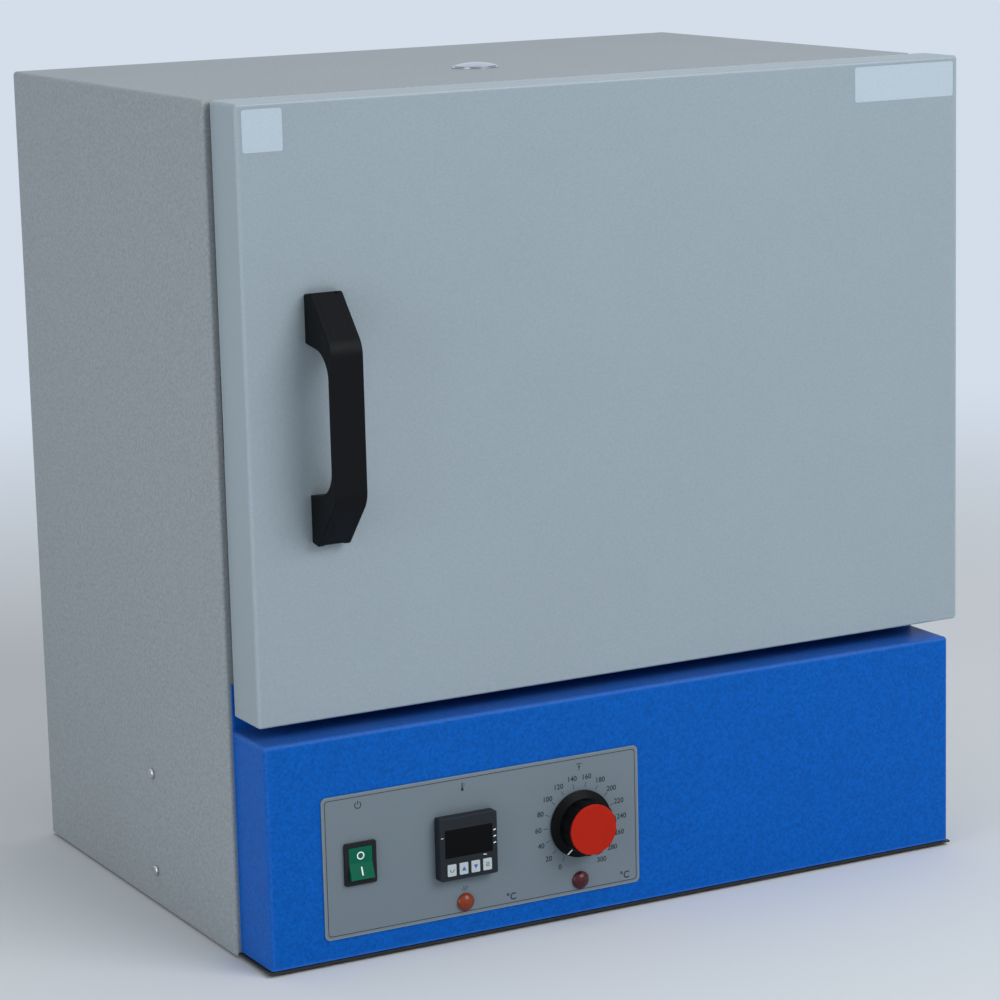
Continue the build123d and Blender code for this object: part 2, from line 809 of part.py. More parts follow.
# Holes that the front cover and the control plate share
with BuildSketch(facing_front(cover_front_y)) as panel_holes:
    with Locations((switch_x, control_z)):
        Rectangle(switch_body_width + 2 * fit_gap, switch_body_height + 2 * fit_gap)
    with Locations((controller_x, control_z)):
        Rectangle(controller_case_size + 2 * fit_gap, controller_case_size + 2 * fit_gap)
    with Locations((heat_lamp_x, lamp_z), (overtemp_lamp_x, lamp_z)):
        Circle(lamp_neck_radius + fit_gap)
    with Locations((knob_x, knob_z)):
        Circle(bush_radius + fit_gap)

# Front cover: a folded box with a ledge, a lip underneath and a flange up behind the door
cover_half = cover_width / 2
cover_inner_half = cover_half - sheet
with BuildPart() as front_cover:
    slab((-cover_half, cover_front_y, cover_bottom_z), (cover_half, front_y, cover_top_z))
    cover_corners = front_cover.edges().filter_by(Axis.Z).group_by(Axis.Y)[0]
    fillet(cover_corners, bend_radius)
    ledge_edges = front_cover.faces().sort_by(Axis.Z)[-1].edges()
    fillet(ledge_edges.filter_by(lambda edge: edge.center().Y < front_y - 1), bend_radius - fit_gap)
    slot_out(
        (-cover_inner_half, cover_back_y, cover_bottom_z + sheet),
        (cover_inner_half, front_y + 1, cover_top_z - sheet),
    )
    lip_half = cover_inner_half - cover_lip_width
    slot_out(
        (-lip_half, cover_back_y + cover_lip_width, cover_bottom_z - 1),
        (lip_half, front_y + 1, cover_bottom_z + 2 * sheet),
    )
    slab(
        (-cover_half, front_y - sheet, cover_top_z - sheet),
        (cover_half, front_y, cover_flange_top_z),
    )
    extrude(panel_holes.sketch, amount=2 * sheet, both=True, mode=Mode.SUBTRACT)
front_cover.part.label = "front_cover"
export_step(front_cover.part, "parts/front_cover.step")

# Cover screws: three low heads on the flange behind the door
cover_screw_z = (door_bottom_z + cover_flange_top_z) / 2
with BuildPart() as cover_screws:
    for x in (cover_screw_inset - cover_half, 0, cover_half - cover_screw_inset):
        head_y = front_y - sheet - leaf_screw_head_height
        rod_along_y(x, cover_screw_z, leaf_screw_head_radius, head_y, front_y - sheet)
cover_screws.part.label = "cover_screws"
export_step(cover_screws.part, "parts/cover_screws.step")

# Control plate
with BuildPart() as control_plate:
    with BuildSketch(facing_front(cover_front_y)):
        with Locations((plate_x, plate_z)):
            RectangleRounded(plate_width, plate_height, plate_corner)
    extrude(amount=plate_thickness)
    extrude(panel_holes.sketch, amount=2 * plate_thickness, both=True, mode=Mode.SUBTRACT)
control_plate.part.label = "control_plate"
export_step(control_plate.part, "parts/control_plate.step")

# Switch body: a snap-in housing whose bezel lies on the plate, with blades at the back
bezel_front_y = plate_front_y - switch_bezel_thickness
rocker_pocket_half = rocker_radius + rocker_side_gap
rocker_pocket_depth = switch_bezel_thickness + rocker_pocket_reach
with BuildPart() as switch_body:
    with BuildSketch(facing_front(plate_front_y)):
        with Locations((switch_x, control_z)):
            RectangleRounded(switch_bezel_width, switch_bezel_height, switch_bezel_corner)
    extrude(amount=switch_bezel_thickness)
    with BuildSketch(facing_front(plate_front_y)):
        with Locations((switch_x, control_z)):
            Rectangle(switch_body_width, switch_body_height)
    extrude(amount=-switch_body_depth)
    with BuildSketch(facing_front(bezel_front_y)):
        with Locations((switch_x, control_z)):
            Rectangle(rocker_width + 2 * rocker_side_gap, 2 * rocker_pocket_half)
    extrude(amount=-rocker_pocket_depth, mode=Mode.SUBTRACT)
    with Locations(Location((switch_x, plate_front_y, control_z), (0, 90, 0))):
        pin_bore_length = switch_body_width - 2 * rocker_side_gap
        Cylinder(switch_pin_radius + running_gap, pin_bore_length, mode=Mode.SUBTRACT)
    with BuildSketch(facing_front(plate_front_y + switch_body_depth)):
        with Locations((switch_x, control_z)):
            with GridLocations(switch_body_width / 2, switch_body_height / 2, 2, 2):
                Rectangle(blade_thickness, blade_width)
    extrude(amount=-blade_length)
switch_body.part.label = "switch_body"
export_step(switch_body.part, "parts/switch_body.step")


def rocker_point(radius, angle):
    """A point of the rocker's side view; the angle runs up from straight out of the panel."""
    turn = radians(angle + rocker_tilt)
    return (plate_front_y - radius * cos(turn), control_z + radius * sin(turn))


# Switch rocker: two faces that meet in a shallow valley, ends that are arcs about the pivot
with BuildPart() as switch_rocker:
    rocker_left_x = switch_x - rocker_width / 2
    with BuildSketch(Plane.YZ.offset(rocker_left_x)):
        with BuildLine():
            top_corner = rocker_point(rocker_radius, rocker_corner_angle)
            top_back = rocker_point(rocker_radius, rocker_back_angle)
            top_middle = rocker_point(rocker_radius, (rocker_corner_angle + rocker_back_angle) / 2)
            low_corner = rocker_point(rocker_radius, -rocker_corner_angle)
            low_back = rocker_point(rocker_radius, -rocker_back_angle)
            low_middle = rocker_point(rocker_radius, -(rocker_corner_angle + rocker_back_angle) / 2)
            valley = rocker_point(rocker_valley, 0)
            Line(valley, top_corner)
            ThreePointArc(top_corner, top_middle, top_back)
            Line(top_back, low_back)
            ThreePointArc(low_back, low_middle, low_corner)
            Line(low_corner, valley)
        make_face()
    extrude(amount=rocker_width)
    with Locations(Location((switch_x, plate_front_y, control_z), (0, 90, 0))):
        Cylinder(switch_pin_radius, pin_bore_length - 2 * fit_gap)
switch_rocker.part.label = "switch_rocker"
export_step(switch_rocker.part, "parts/switch_rocker.step")

# Controller bezel: the square front with its window recess and key pockets
window_z = control_z + window_rise
key_z = control_z - key_drop
key_places = [controller_x + (key - (key_count - 1) / 2) * key_pitch for key in range(key_count)]
with BuildPart() as controller_bezel:
    with BuildSketch(facing_front(plate_front_y)):
        with Locations((controller_x, control_z)):
            RectangleRounded(controller_size, controller_size, controller_corner)
    extrude(amount=controller_depth)
    chamfer(controller_bezel.faces().sort_by(Axis.Y)[0].edges(), controller_corner / 3)
    with BuildSketch(facing_front(controller_front_y)):
        with Locations((controller_x, window_z)):
            RectangleRounded(window_width + fit_gap, window_height + fit_gap, controller_corner / 2)
    extrude(amount=-window_thickness, mode=Mode.SUBTRACT)
    with BuildSketch(facing_front(controller_front_y)):
        with Locations(*[(x, key_z) for x in key_places]):
            Rectangle(key_width + 2 * key_side_gap, key_height + 2 * key_side_gap)
    extrude(amount=-key_pocket_depth, mode=Mode.SUBTRACT)
controller_bezel.part.label = "controller_bezel"
export_step(controller_bezel.part, "parts/controller_bezel.step")

with BuildPart() as controller_window:
    with BuildSketch(facing_front(controller_front_y)):
        with Locations((controller_x, window_z)):
            RectangleRounded(window_width, window_height, controller_corner / 2)
    extrude(amount=-window_thickness)
controller_window.part.label = "controller_window"
export_step(controller_window.part, "parts/controller_window.step")

# Controller case behind the panel, and the clamp that holds it
with BuildPart() as controller_case:
    with BuildSketch(facing_front(plate_front_y)):
        with Locations((controller_x, control_z)):
            Rectangle(controller_case_size, controller_case_size)
    extrude(amount=-controller_case_depth)
    chamfer(controller_case.faces().sort_by(Axis.Y)[-1].edges(), controller_corner)
controller_case.part.label = "controller_case"
export_step(controller_case.part, "parts/controller_case.step")

with BuildPart() as controller_clamp:
    with BuildSketch(facing_front(cover_back_y)):
        with Locations((controller_x, control_z)):
            clamp_size = controller_case_size + 2 * controller_clamp_width
            RectangleRounded(clamp_size, clamp_size, controller_corner)
            Rectangle(
                controller_case_size + 2 * fit_gap,
                controller_case_size + 2 * fit_gap,
                mode=Mode.SUBTRACT,
            )
    extrude(amount=-controller_clamp_depth)
controller_clamp.part.label = "controller_clamp"
export_step(controller_clamp.part, "parts/controller_clamp.step")

# Controller keys
for number, x in enumerate(key_places, start=1):
    with BuildPart() as key:
        with BuildSketch(facing_front(controller_front_y - key_stand)):
            with Locations((x, key_z)):
                RectangleRounded(key_width, key_height, controller_corner / 2)
        extrude(amount=-key_thickness)
        fillet(key.faces().sort_by(Axis.Y)[0].edges(), key_edge_radius)
    key.part.label = f"key_{number}"
    export_step(key.part, f"parts/key_{number}.step")

# Pilot lamps: threaded bodies with their nuts behind the cover, and domed lenses in front
with BuildPart() as lamp_bodies:
    for x in (heat_lamp_x, overtemp_lamp_x):
        rod_along_y(x, lamp_z, lamp_neck_radius, plate_front_y, plate_front_y + lamp_neck_length)
        rod_along_y(x, lamp_z, lamp_nut_radius, cover_back_y, cover_back_y + lamp_nut_thickness)
lamp_bodies.part.label = "lamp_bodies"
export_step(lamp_bodies.part, "parts/lamp_bodies.step")

for name, x in (("heat_lamp_lens", heat_lamp_x), ("overtemp_lamp_lens", overtemp_lamp_x)):
    with BuildPart() as lens:
        with BuildSketch(Plane((x, plate_front_y, lamp_z), x_dir=(1, 0, 0), z_dir=(0, 0, -1))):
            with BuildLine():
                Polyline((0, 0), (lens_radius, 0), (lens_radius, lens_base))
                ThreePointArc(
                    (lens_radius, lens_base),
                    dome_middle(lens_radius, lens_base, lens_rise),
                    (0, lens_base + lens_rise),
                )
                Line((0, lens_base + lens_rise), (0, 0))
            make_face()
        revolve(axis=Axis((x, plate_front_y, lamp_z), (0, 1, 0)))
    lens.part.label = name
    export_step(lens.part, f"parts/{name}.step")

# Safety thermostat behind the panel, with the bush that its shaft turns in
shaft_front_y = plate_front_y - knob_stand - shaft_grip
shaft_rear_y = cover_back_y + shaft_tail
with BuildPart() as thermostat_body:
    slab(
        (knob_x - thermostat_size / 2, cover_back_y, knob_z - thermostat_size / 2),
        (
            knob_x + thermostat_size / 2,
            cover_back_y + thermostat_depth,
            knob_z + thermostat_size / 2,
        ),
    )
    fillet(thermostat_body.edges().filter_by(Axis.Y), bend_radius)
    rod_along_y(knob_x, knob_z, bush_radius, plate_front_y, cover_back_y + sheet)
    rod_along_y(
        knob_x,
        knob_z,
        shaft_radius + running_gap,
        plate_front_y - 1,
        shaft_rear_y + fit_gap,
        mode=Mode.SUBTRACT,
    )
thermostat_body.part.label = "thermostat_body"
export_step(thermostat_body.part, "parts/thermostat_body.step")

with BuildPart() as thermostat_shaft:
    rod_along_y(knob_x, knob_z, shaft_radius, shaft_front_y, shaft_rear_y)
    chamfer(thermostat_shaft.edges().group_by(Axis.Y)[0], shaft_radius / 5)
thermostat_shaft.part.label = "thermostat_shaft"
export_step(thermostat_shaft.part, "parts/thermostat_shaft.step")

# Knob: a sloping skirt and a fluted grip, turned about the shaft
knob_back_y = plate_front_y - knob_stand
knob_front_y = knob_back_y - knob_length
with BuildPart() as knob:
    with BuildSketch(Plane((knob_x, knob_back_y, knob_z), x_dir=(1, 0, 0), z_dir=(0, 0, 1))):
        with BuildLine():
            Polyline(
                (shaft_radius + running_gap, 0),
                (skirt_radius, 0),
                (skirt_radius, -skirt_edge),
                (grip_radius, -skirt_edge - skirt_slope_height),
                (grip_radius, -knob_length),
                (0, -knob_length),
                (0, -shaft_grip - fit_gap),
                (shaft_radius + running_gap, -shaft_grip - fit_gap),
                close=True,
            )
        make_face()
    revolve(axis=Axis((knob_x, 0, knob_z), (0, 1, 0)))
    flute_centre = grip_radius + flute_radius - flute_depth
    flute_length = knob_length - skirt_edge - skirt_slope_height
    with BuildSketch(facing_front(knob_front_y)):
        with Locations((knob_x, knob_z)):
            with PolarLocations(flute_centre, flute_count):
                Circle(flute_radius)
    extrude(amount=-flute_length, mode=Mode.SUBTRACT)
knob.part.label = "knob"
export_step(knob.part, "parts/knob.step")

with BuildPart() as knob_cap:
    rod_along_y(knob_x, knob_z, cap_radius, knob_front_y - cap_thickness, knob_front_y)
    fillet(knob_cap.edges().group_by(Axis.Y)[0], cap_thickness / 3)
knob_cap.part.label = "knob_cap"
export_step(knob_cap.part, "parts/knob_cap.step")

# Relay and terminal block on the tray
with BuildPart() as relay:
    with Locations((relay_x, relay_y, tray_top_z)):
        Box(*relay_size, align=(Align.CENTER, Align.CENTER, Align.MIN))
    fillet(relay.edges().filter_by(Axis.Z), bend_radius)
    with Locations((relay_x, relay_y, tray_top_z + relay_size[2])):
        with GridLocations(*relay_terminal_spacing, 2, 2):
            Hole(terminal_screw_radius, relay_size[2] / 3)
relay.part.label = "relay"
export_step(relay.part, "parts/relay.step")

with BuildPart() as terminal_block:
    with Locations((terminal_x, terminal_y, tray_top_z)):
        Box(*terminal_size, align=(Align.CENTER, Align.CENTER, Align.MIN))
    chamfer(terminal_block.edges().filter_by(Axis.X).group_by(Axis.Z)[-1], terminal_size[2] / 5)
    with Locations((terminal_x, terminal_y, tray_top_z + terminal_size[2])):
        with GridLocations(terminal_size[0] / terminal_count, 1, terminal_count, 1):
            Hole(terminal_screw_radius, terminal_size[2] / 2)
terminal_block.part.label = "terminal_block"
export_step(terminal_block.part, "parts/terminal_block.step")

# Cable gland through the rear panel, and its nut inside
gland_seat_y = rear_y + sheet
with BuildPart() as cable_gland:
    with BuildSketch(facing_front(gland_seat_y)):
        with Locations((gland_x, gland_z)):
            RegularPolygon(gland_hex_radius, 6)
    extrude(amount=-gland_hex_length)
    dome_y = gland_seat_y + gland_hex_length
    rod_along_y(gland_x, gland_z, gland_dome_radius, dome_y, dome_y + gland_dome_length)
    dome_rim = cable_gland.faces().sort_by(Axis.Y)[-1].edges()
    fillet(dome_rim, gland_dome_length / 3)
    rod_along_y(
        gland_x, gland_z, gland_thread_radius, gland_seat_y - gland_thread_length, gland_seat_y
    )
    rod_along_y(
        gland_x,
        gland_z,
        gland_bore_radius,
        gland_seat_y - gland_thread_length - 1,
        dome_y + gland_dome_length + 1,
        mode=Mode.SUBTRACT,
    )
cable_gland.part.label = "cable_gland"
export_step(cable_gland.part, "parts/cable_gland.step")

with BuildPart() as gland_nut:
    with BuildSketch(facing_front(rear_y)):
        with Locations((gland_x, gland_z)):
            RegularPolygon(gland_hex_radius, 6)
            Circle(gland_thread_radius + running_gap, mode=Mode.SUBTRACT)
    extrude(amount=gland_nut_thickness)
gland_nut.part.label = "gland_nut"
export_step(gland_nut.part, "parts/gland_nut.step")

# Side screws: domed heads low on both sides of the cabinet
with BuildPart() as side_screws:
    for side in (-1, 1):
        outward = (side, 0, 0)
        for z in (tray_screw_z, deck_screw_z):
            seat = Plane((side * casing_width / 2, side_screw_y, z), z_dir=outward)
            with BuildSketch(seat):
                Circle(screw_head_radius)
            extrude(amount=screw_head_height)
            with BuildSketch(seat):
                Circle(screw_radius)
            extrude(amount=-screw_length)
    outer_rims = side_screws.faces().filter_by(Axis.X).filter_by(
        lambda face: abs(face.center().X) > casing_width / 2 + screw_head_height / 2
    )
    fillet(outer_rims.edges(), screw_head_round)
side_screws.part.label = "side_screws"
export_step(side_screws.part, "parts/side_screws.step")

# Rear screws round the edge of the rear panel
with BuildPart() as rear_screws:
    for x, z in rear_screw_places:
        head_y = rear_y + sheet
        rod_along_y(x, z, screw_head_radius, head_y, head_y + screw_head_height)
    chamfer(rear_screws.edges().group_by(Axis.Y)[-1], screw_head_height / 3)
    for x, z in rear_screw_places:
        rod_along_y(x, z, screw_radius, rear_y + fit_gap, rear_y + sheet)
rear_screws.part.label = "rear_screws"
export_step(rear_screws.part, "parts/rear_screws.step")

# Door skin: a folded pan with returns round its back
door_back_left = -gasket_half_width - door_return_gap
door_back_right = gasket_half_width + door_return_gap
door_back_low = gasket_low_z - door_return_gap
door_back_high = gasket_high_z + door_return_gap
with BuildPart() as door_skin:
    slab(
        (door_left_x, door_front_y, door_bottom_z),
        (door_right_x, door_back_y, door_top_z),
    )
    fillet(door_skin.edges().filter_by(Axis.Y), door_edge_radius)
    fillet(door_skin.faces().sort_by(Axis.Y)[0].edges(), door_edge_radius - fit_gap)
    slot_out(
        (door_left_x + sheet, door_front_y + sheet, door_bottom_z + sheet),
        (door_right_x - sheet, door_back_y - sheet, door_top_z - sheet),
    )
    slot_out(
        (door_back_left, door_back_y - 2 * sheet, door_back_low),
        (door_back_right, door_back_y + 1, door_back_high),
    )
    for side in (-1, 1):
        rod_along_y(
            handle_x,
            handle_z + side * handle_screw_offset,
            handle_screw_radius + running_gap,
            door_front_y - 1,
            door_front_y + 2 * sheet,
            mode=Mode.SUBTRACT,
        )
    for bottom in hinge_bottoms:
        for along in (-leaf_screw_spacing / 2, leaf_screw_spacing / 2):
            rod_along_y(
                door_screw_x,
                bottom + knuckle_length + along,
                leaf_screw_radius + running_gap,
                panel_y - 1,
                door_back_y + 1,
                mode=Mode.SUBTRACT,
            )
door_skin.part.label = "door_skin"
export_step(door_skin.part, "parts/door_skin.step")

# Door inner panel: a pressed sheet whose raised field faces the chamber
field_width = chamber_width - 2 * field_margin
field_height = chamber_height - 2 * field_margin
with BuildPart() as door_inner_panel:
    slab(
        (door_back_left - panel_lap, panel_y - panel_thickness, door_back_low - panel_lap),
        (door_back_right + panel_lap, panel_y, door_back_high + panel_lap),
    )
    with BuildSketch(facing_front(panel_y)):
        with Locations((0, chamber_middle_z)):
            RectangleRounded(field_width, field_height, field_corner)
    extrude(amount=-field_rise, taper=field_slope)
    with BuildSketch(facing_front(panel_y - panel_thickness)):
        with Locations((0, chamber_middle_z)):
            hollow_less = 2 * panel_thickness
            RectangleRounded(field_width - hollow_less, field_height - hollow_less, field_corner)
    extrude(amount=-field_rise, taper=field_slope, mode=Mode.SUBTRACT)
door_inner_panel.part.label = "door_inner_panel"
export_step(door_inner_panel.part, "parts/door_inner_panel.step")

# Door insulation
with BuildPart() as door_insulation:
    wool_back_y = panel_y - panel_thickness - fit_gap
    slab(
        (
            door_left_x + sheet + fit_gap,
            door_front_y + sheet + handle_screw_reach,
            door_bottom_z + sheet + fit_gap,
        ),
        (door_right_x - sheet - fit_gap, wool_back_y, door_top_z - sheet - fit_gap),
    )
door_insulation.part.label = "door_insulation"
export_step(door_insulation.part, "parts/door_insulation.step")

# Door gasket: a flat base on the inner panel, and a soft lip that meets the front frame
gasket_inner_width = chamber_width + 2 * gasket_inner_gap
gasket_inner_height = chamber_height + 2 * gasket_inner_gap
gasket_lip_side = (gasket_width - gasket_lip_width) / 2
with BuildPart() as door_gasket:
    with BuildSketch(facing_front(panel_y)):
        with Locations((0, chamber_middle_z)):
            RectangleRounded(
                gasket_inner_width + 2 * gasket_width,
                gasket_inner_height + 2 * gasket_width,
                gasket_corner + gasket_width,
            )
            RectangleRounded(
                gasket_inner_width, gasket_inner_height, gasket_corner, mode=Mode.SUBTRACT
            )
    extrude(amount=-gasket_base)
    lip_inset = 2 * (gasket_width - gasket_lip_side)
    with BuildSketch(facing_front(panel_y + gasket_base)):
        with Locations((0, chamber_middle_z)):
            RectangleRounded(
                gasket_inner_width + lip_inset,
                gasket_inner_height + lip_inset,
                gasket_corner + gasket_width - gasket_lip_side,
            )
            RectangleRounded(
                gasket_inner_width + 2 * gasket_lip_side,
                gasket_inner_height + 2 * gasket_lip_side,
                gasket_corner + gasket_lip_side,
                mode=Mode.SUBTRACT,
            )
    extrude(amount=-(inner_front_y - fit_gap - panel_y - gasket_base))
    fillet(door_gasket.faces().sort_by(Axis.Y)[-1].edges(), gasket_lip_width / 4)
door_gasket.part.label = "door_gasket"
export_step(door_gasket.part, "parts/door_gasket.step")


def handle_place(stand, rise):
    """A point of the handle's side view: how far off the door, and how far above its middle."""
    return (door_front_y - stand, handle_z + rise)


# Handle: a moulded bridge with sloping ends, a flat front and a rounded back to the grip
handle_left_x = handle_x - handle_width / 2
handle_end = handle_half_length - handle_draft
with BuildSketch(Plane.YZ.offset(handle_left_x)) as handle_outline:
    with BuildLine():
        FilletPolyline(
            handle_place(0, -handle_end),
            handle_place(handle_foot_stand, -handle_half_length),
            handle_place(handle_stand, -handle_flat_half),
            handle_place(handle_stand, handle_flat_half),
            handle_place(handle_foot_stand, handle_half_length),
            handle_place(0, handle_end),
            radius=(bend_radius, handle_shoulder_radius, handle_shoulder_radius, bend_radius),
        )
        Line(handle_place(0, handle_end), handle_place(0, -handle_end))
    make_face()


def handle_arch(stand, bend):
    """The opening under the bridge, as deep as stand, as a closed sketch."""
    with BuildSketch(Plane.YZ.offset(handle_left_x)) as arch:
        with BuildLine():
            shoulder = handle_foot_inner - handle_arch_drop
            FilletPolyline(
                handle_place(0, -handle_foot_inner),
                handle_place(stand, -shoulder),
                handle_place(stand, shoulder),
                handle_place(0, handle_foot_inner),
                radius=bend,
            )
            Line(handle_place(0, handle_foot_inner), handle_place(0, -handle_foot_inner))
        make_face()
    return arch.sketch


# The rounded back of the grip: what lies inside an elliptical bar, between the two arches
with BuildPart() as grip_back:
    extrude(handle_arch(handle_side_stand, handle_side_bend), amount=handle_width)
    extrude(
        handle_arch(handle_back_stand, handle_back_bend), amount=handle_width, mode=Mode.SUBTRACT
    )
    with BuildSketch(Plane.XY.offset(handle_z - handle_half_length)):
        with Locations((handle_x, door_front_y - handle_side_stand - fit_gap)):
            Ellipse(handle_width / 2 - fit_gap, handle_side_stand - handle_back_stand)
    extrude(amount=2 * handle_half_length, mode=Mode.INTERSECT)

slope_run = handle_stand - handle_foot_stand
slope_drop = handle_half_length - handle_flat_half
slope_length = (slope_run**2 + slope_drop**2) ** 0.5
cover_run = (handle_half_length - handle_cover_end) * slope_length / slope_drop


def slope_plane(side):
    """The plane of a sloping end, from its outer edge, with x down the slope to the grip."""
    y, z = handle_place(handle_foot_stand, side * handle_half_length)
    return Plane(
        origin=(handle_x, y, z),
        x_dir=(0, -slope_run, -side * slope_drop),
        z_dir=(0, -slope_drop, side * slope_run),
    )


with BuildPart() as handle:
    extrude(handle_outline.sketch, amount=handle_width)
    side_edges = handle.faces().filter_by(Axis.X).edges()
    proud_edges = side_edges.filter_by(lambda edge: edge.center().Y < door_front_y - fit_gap)
    fillet(proud_edges, handle_edge_radius)
    extrude(
        handle_arch(handle_side_stand, handle_side_bend), amount=handle_width, mode=Mode.SUBTRACT
    )
    add(grip_back.part)
    for side in (-1, 1):
        with BuildSketch(slope_plane(side)):
            with Locations((cover_run / 2 - bend_radius, 0)):
                Rectangle(cover_run + 2 * bend_radius, handle_cover_width)
        extrude(amount=-handle_cover_depth, mode=Mode.SUBTRACT)
        screw_z = handle_z + side * handle_screw_offset
        rod_along_y(
            handle_x,
            screw_z,
            handle_screw_radius + running_gap,
            door_front_y - handle_stand,
            door_front_y + 1,
            mode=Mode.SUBTRACT,
        )
        rod_along_y(
            handle_x,
            screw_z,
            handle_head_radius + fit_gap,
            door_front_y - handle_stand,
            door_front_y - handle_seat_depth,
            mode=Mode.SUBTRACT,
        )
handle.part.label = "handle"
export_step(handle.part, "parts/handle.step")

# Handle covers: flush caps over the screws
with BuildPart() as handle_covers:
    for side in (-1, 1):
        with BuildSketch(slope_plane(side)):
            cap_end = cover_run - handle_cover_gap
            with Locations(((handle_cover_start + cap_end) / 2, 0)):
                cap_length = cap_end - handle_cover_start
                Rectangle(cap_length, handle_cover_width - 2 * handle_cover_gap)
        extrude(amount=-handle_cover_depth + fit_gap / 2)
handle_covers.part.label = "handle_covers"
export_step(handle_covers.part, "parts/handle_covers.step")

# Handle screws, in their counterbores and through the door skin
with BuildPart() as handle_screws:
    for side in (-1, 1):
        screw_z = handle_z + side * handle_screw_offset
        seat_y = door_front_y - handle_seat_depth
        rod_along_y(handle_x, screw_z, handle_head_radius, seat_y - handle_head_height, seat_y)
        rod_along_y(
            handle_x, screw_z, handle_screw_radius, seat_y, door_front_y + handle_screw_reach
        )
handle_screws.part.label = "handle_screws"
export_step(handle_screws.part, "parts/handle_screws.step")

# Hinge leaves on the cabinet: a plate on the side wall, a web and the lower knuckle
with BuildPart() as hinge_frame_leaves:
    for bottom in hinge_bottoms:
        low = bottom
        high = bottom + 2 * knuckle_length + knuckle_gap
        slab(
            (right_x, leaf_back_y - hinge_leaf_thickness, low),
            (right_x + hinge_leaf_thickness, leaf_back_y + hinge_leaf_length, high),
        )
        slab(
            (right_x, leaf_back_y - hinge_leaf_thickness, low),
            (hinge_x, leaf_back_y, low + knuckle_length),
        )
        with Locations((hinge_x, hinge_y, low)):
            Cylinder(
                knuckle_radius, knuckle_length, align=(Align.CENTER, Align.CENTER, Align.MIN)
            )
        with Locations((hinge_x, hinge_y, low + knuckle_length / 2)):
            Cylinder(hinge_pin_radius + running_gap, knuckle_length + 1, mode=Mode.SUBTRACT)
        for along in (-leaf_screw_spacing / 2, leaf_screw_spacing / 2):
            place = (right_x, leaf_screw_y, bottom + knuckle_length + along)
            with Locations(Location(place, (0, 90, 0))):
                Cylinder(
                    leaf_screw_radius + running_gap, 4 * hinge_leaf_thickness, mode=Mode.SUBTRACT
                )
hinge_frame_leaves.part.label = "hinge_frame_leaves"
export_step(hinge_frame_leaves.part, "parts/hinge_frame_leaves.step")

# Hinge leaves on the door: a plate on the door's back and the upper knuckle
with BuildPart() as hinge_door_leaves:
    for bottom in hinge_bottoms:
        low = bottom + knuckle_length + knuckle_gap
        slab(
            (hinge_x - hinge_leaf_length, door_back_y, bottom),
            (hinge_x - knuckle_radius - knuckle_gap, door_back_y + hinge_leaf_thickness, low),
        )
        slab(
            (hinge_x - hinge_leaf_length, door_back_y, low),
            (hinge_x, door_back_y + hinge_leaf_thickness, low + knuckle_length),
        )
        with Locations((hinge_x, hinge_y, low)):
            Cylinder(
                knuckle_radius, knuckle_length, align=(Align.CENTER, Align.CENTER, Align.MIN)
            )
        with Locations((hinge_x, hinge_y, low + knuckle_length / 2)):
            Cylinder(hinge_pin_radius + running_gap, knuckle_length + 1, mode=Mode.SUBTRACT)
        for along in (-leaf_screw_spacing / 2, leaf_screw_spacing / 2):
            rod_along_y(
                door_screw_x,
                bottom + knuckle_length + along,
                leaf_screw_radius + running_gap,
                door_back_y - 1,
                door_back_y + 2 * hinge_leaf_thickness,
                mode=Mode.SUBTRACT,
            )
hinge_door_leaves.part.label = "hinge_door_leaves"
export_step(hinge_door_leaves.part, "parts/hinge_door_leaves.step")

# Hinge pins
with BuildPart() as hinge_pins:
    for bottom in hinge_bottoms:
        with Locations((hinge_x, hinge_y, bottom + knuckle_length + knuckle_gap / 2)):
            Cylinder(hinge_pin_radius, hinge_pin_length)
    chamfer(hinge_pins.edges().filter_by(GeomType.CIRCLE), hinge_pin_radius / 5)
hinge_pins.part.label = "hinge_pins"
export_step(hinge_pins.part, "parts/hinge_pins.step")

# Leaf screws on the cabinet side
with BuildPart() as hinge_frame_screws:
    for bottom in hinge_bottoms:
        for along in (-leaf_screw_spacing / 2, leaf_screw_spacing / 2):
            place = (right_x, leaf_screw_y, bottom + knuckle_length + along)
            with BuildSketch(Plane(place, z_dir=(1, 0, 0))):
                Circle(leaf_screw_radius)
            extrude(amount=hinge_leaf_thickness)
            with BuildSketch(Plane(place, z_dir=(1, 0, 0)).offset(hinge_leaf_thickness)):
                Circle(leaf_screw_head_radius)
            extrude(amount=leaf_screw_head_height)
            with BuildSketch(Plane(place, z_dir=(1, 0, 0))):
                Circle(leaf_screw_radius)
            extrude(amount=-sheet)
hinge_frame_screws.part.label = "hinge_frame_screws"
export_step(hinge_frame_screws.part, "parts/hinge_frame_screws.step")

# Leaf screws on the door side
with BuildPart() as hinge_door_screws:
    leaf_front_y = door_back_y + hinge_leaf_thickness
    for bottom in hinge_bottoms:
        for along in (-leaf_screw_spacing / 2, leaf_screw_spacing / 2):
            screw_z = bottom + knuckle_length + along
            rod_along_y(door_screw_x, screw_z, leaf_screw_radius, panel_y, leaf_front_y)
            rod_along_y(
                door_screw_x,
                screw_z,
                leaf_screw_head_radius,
                leaf_front_y,
                leaf_front_y + leaf_screw_head_height,
            )
hinge_door_screws.part.label = "hinge_door_screws"
export_step(hinge_door_screws.part, "parts/hinge_door_screws.step")

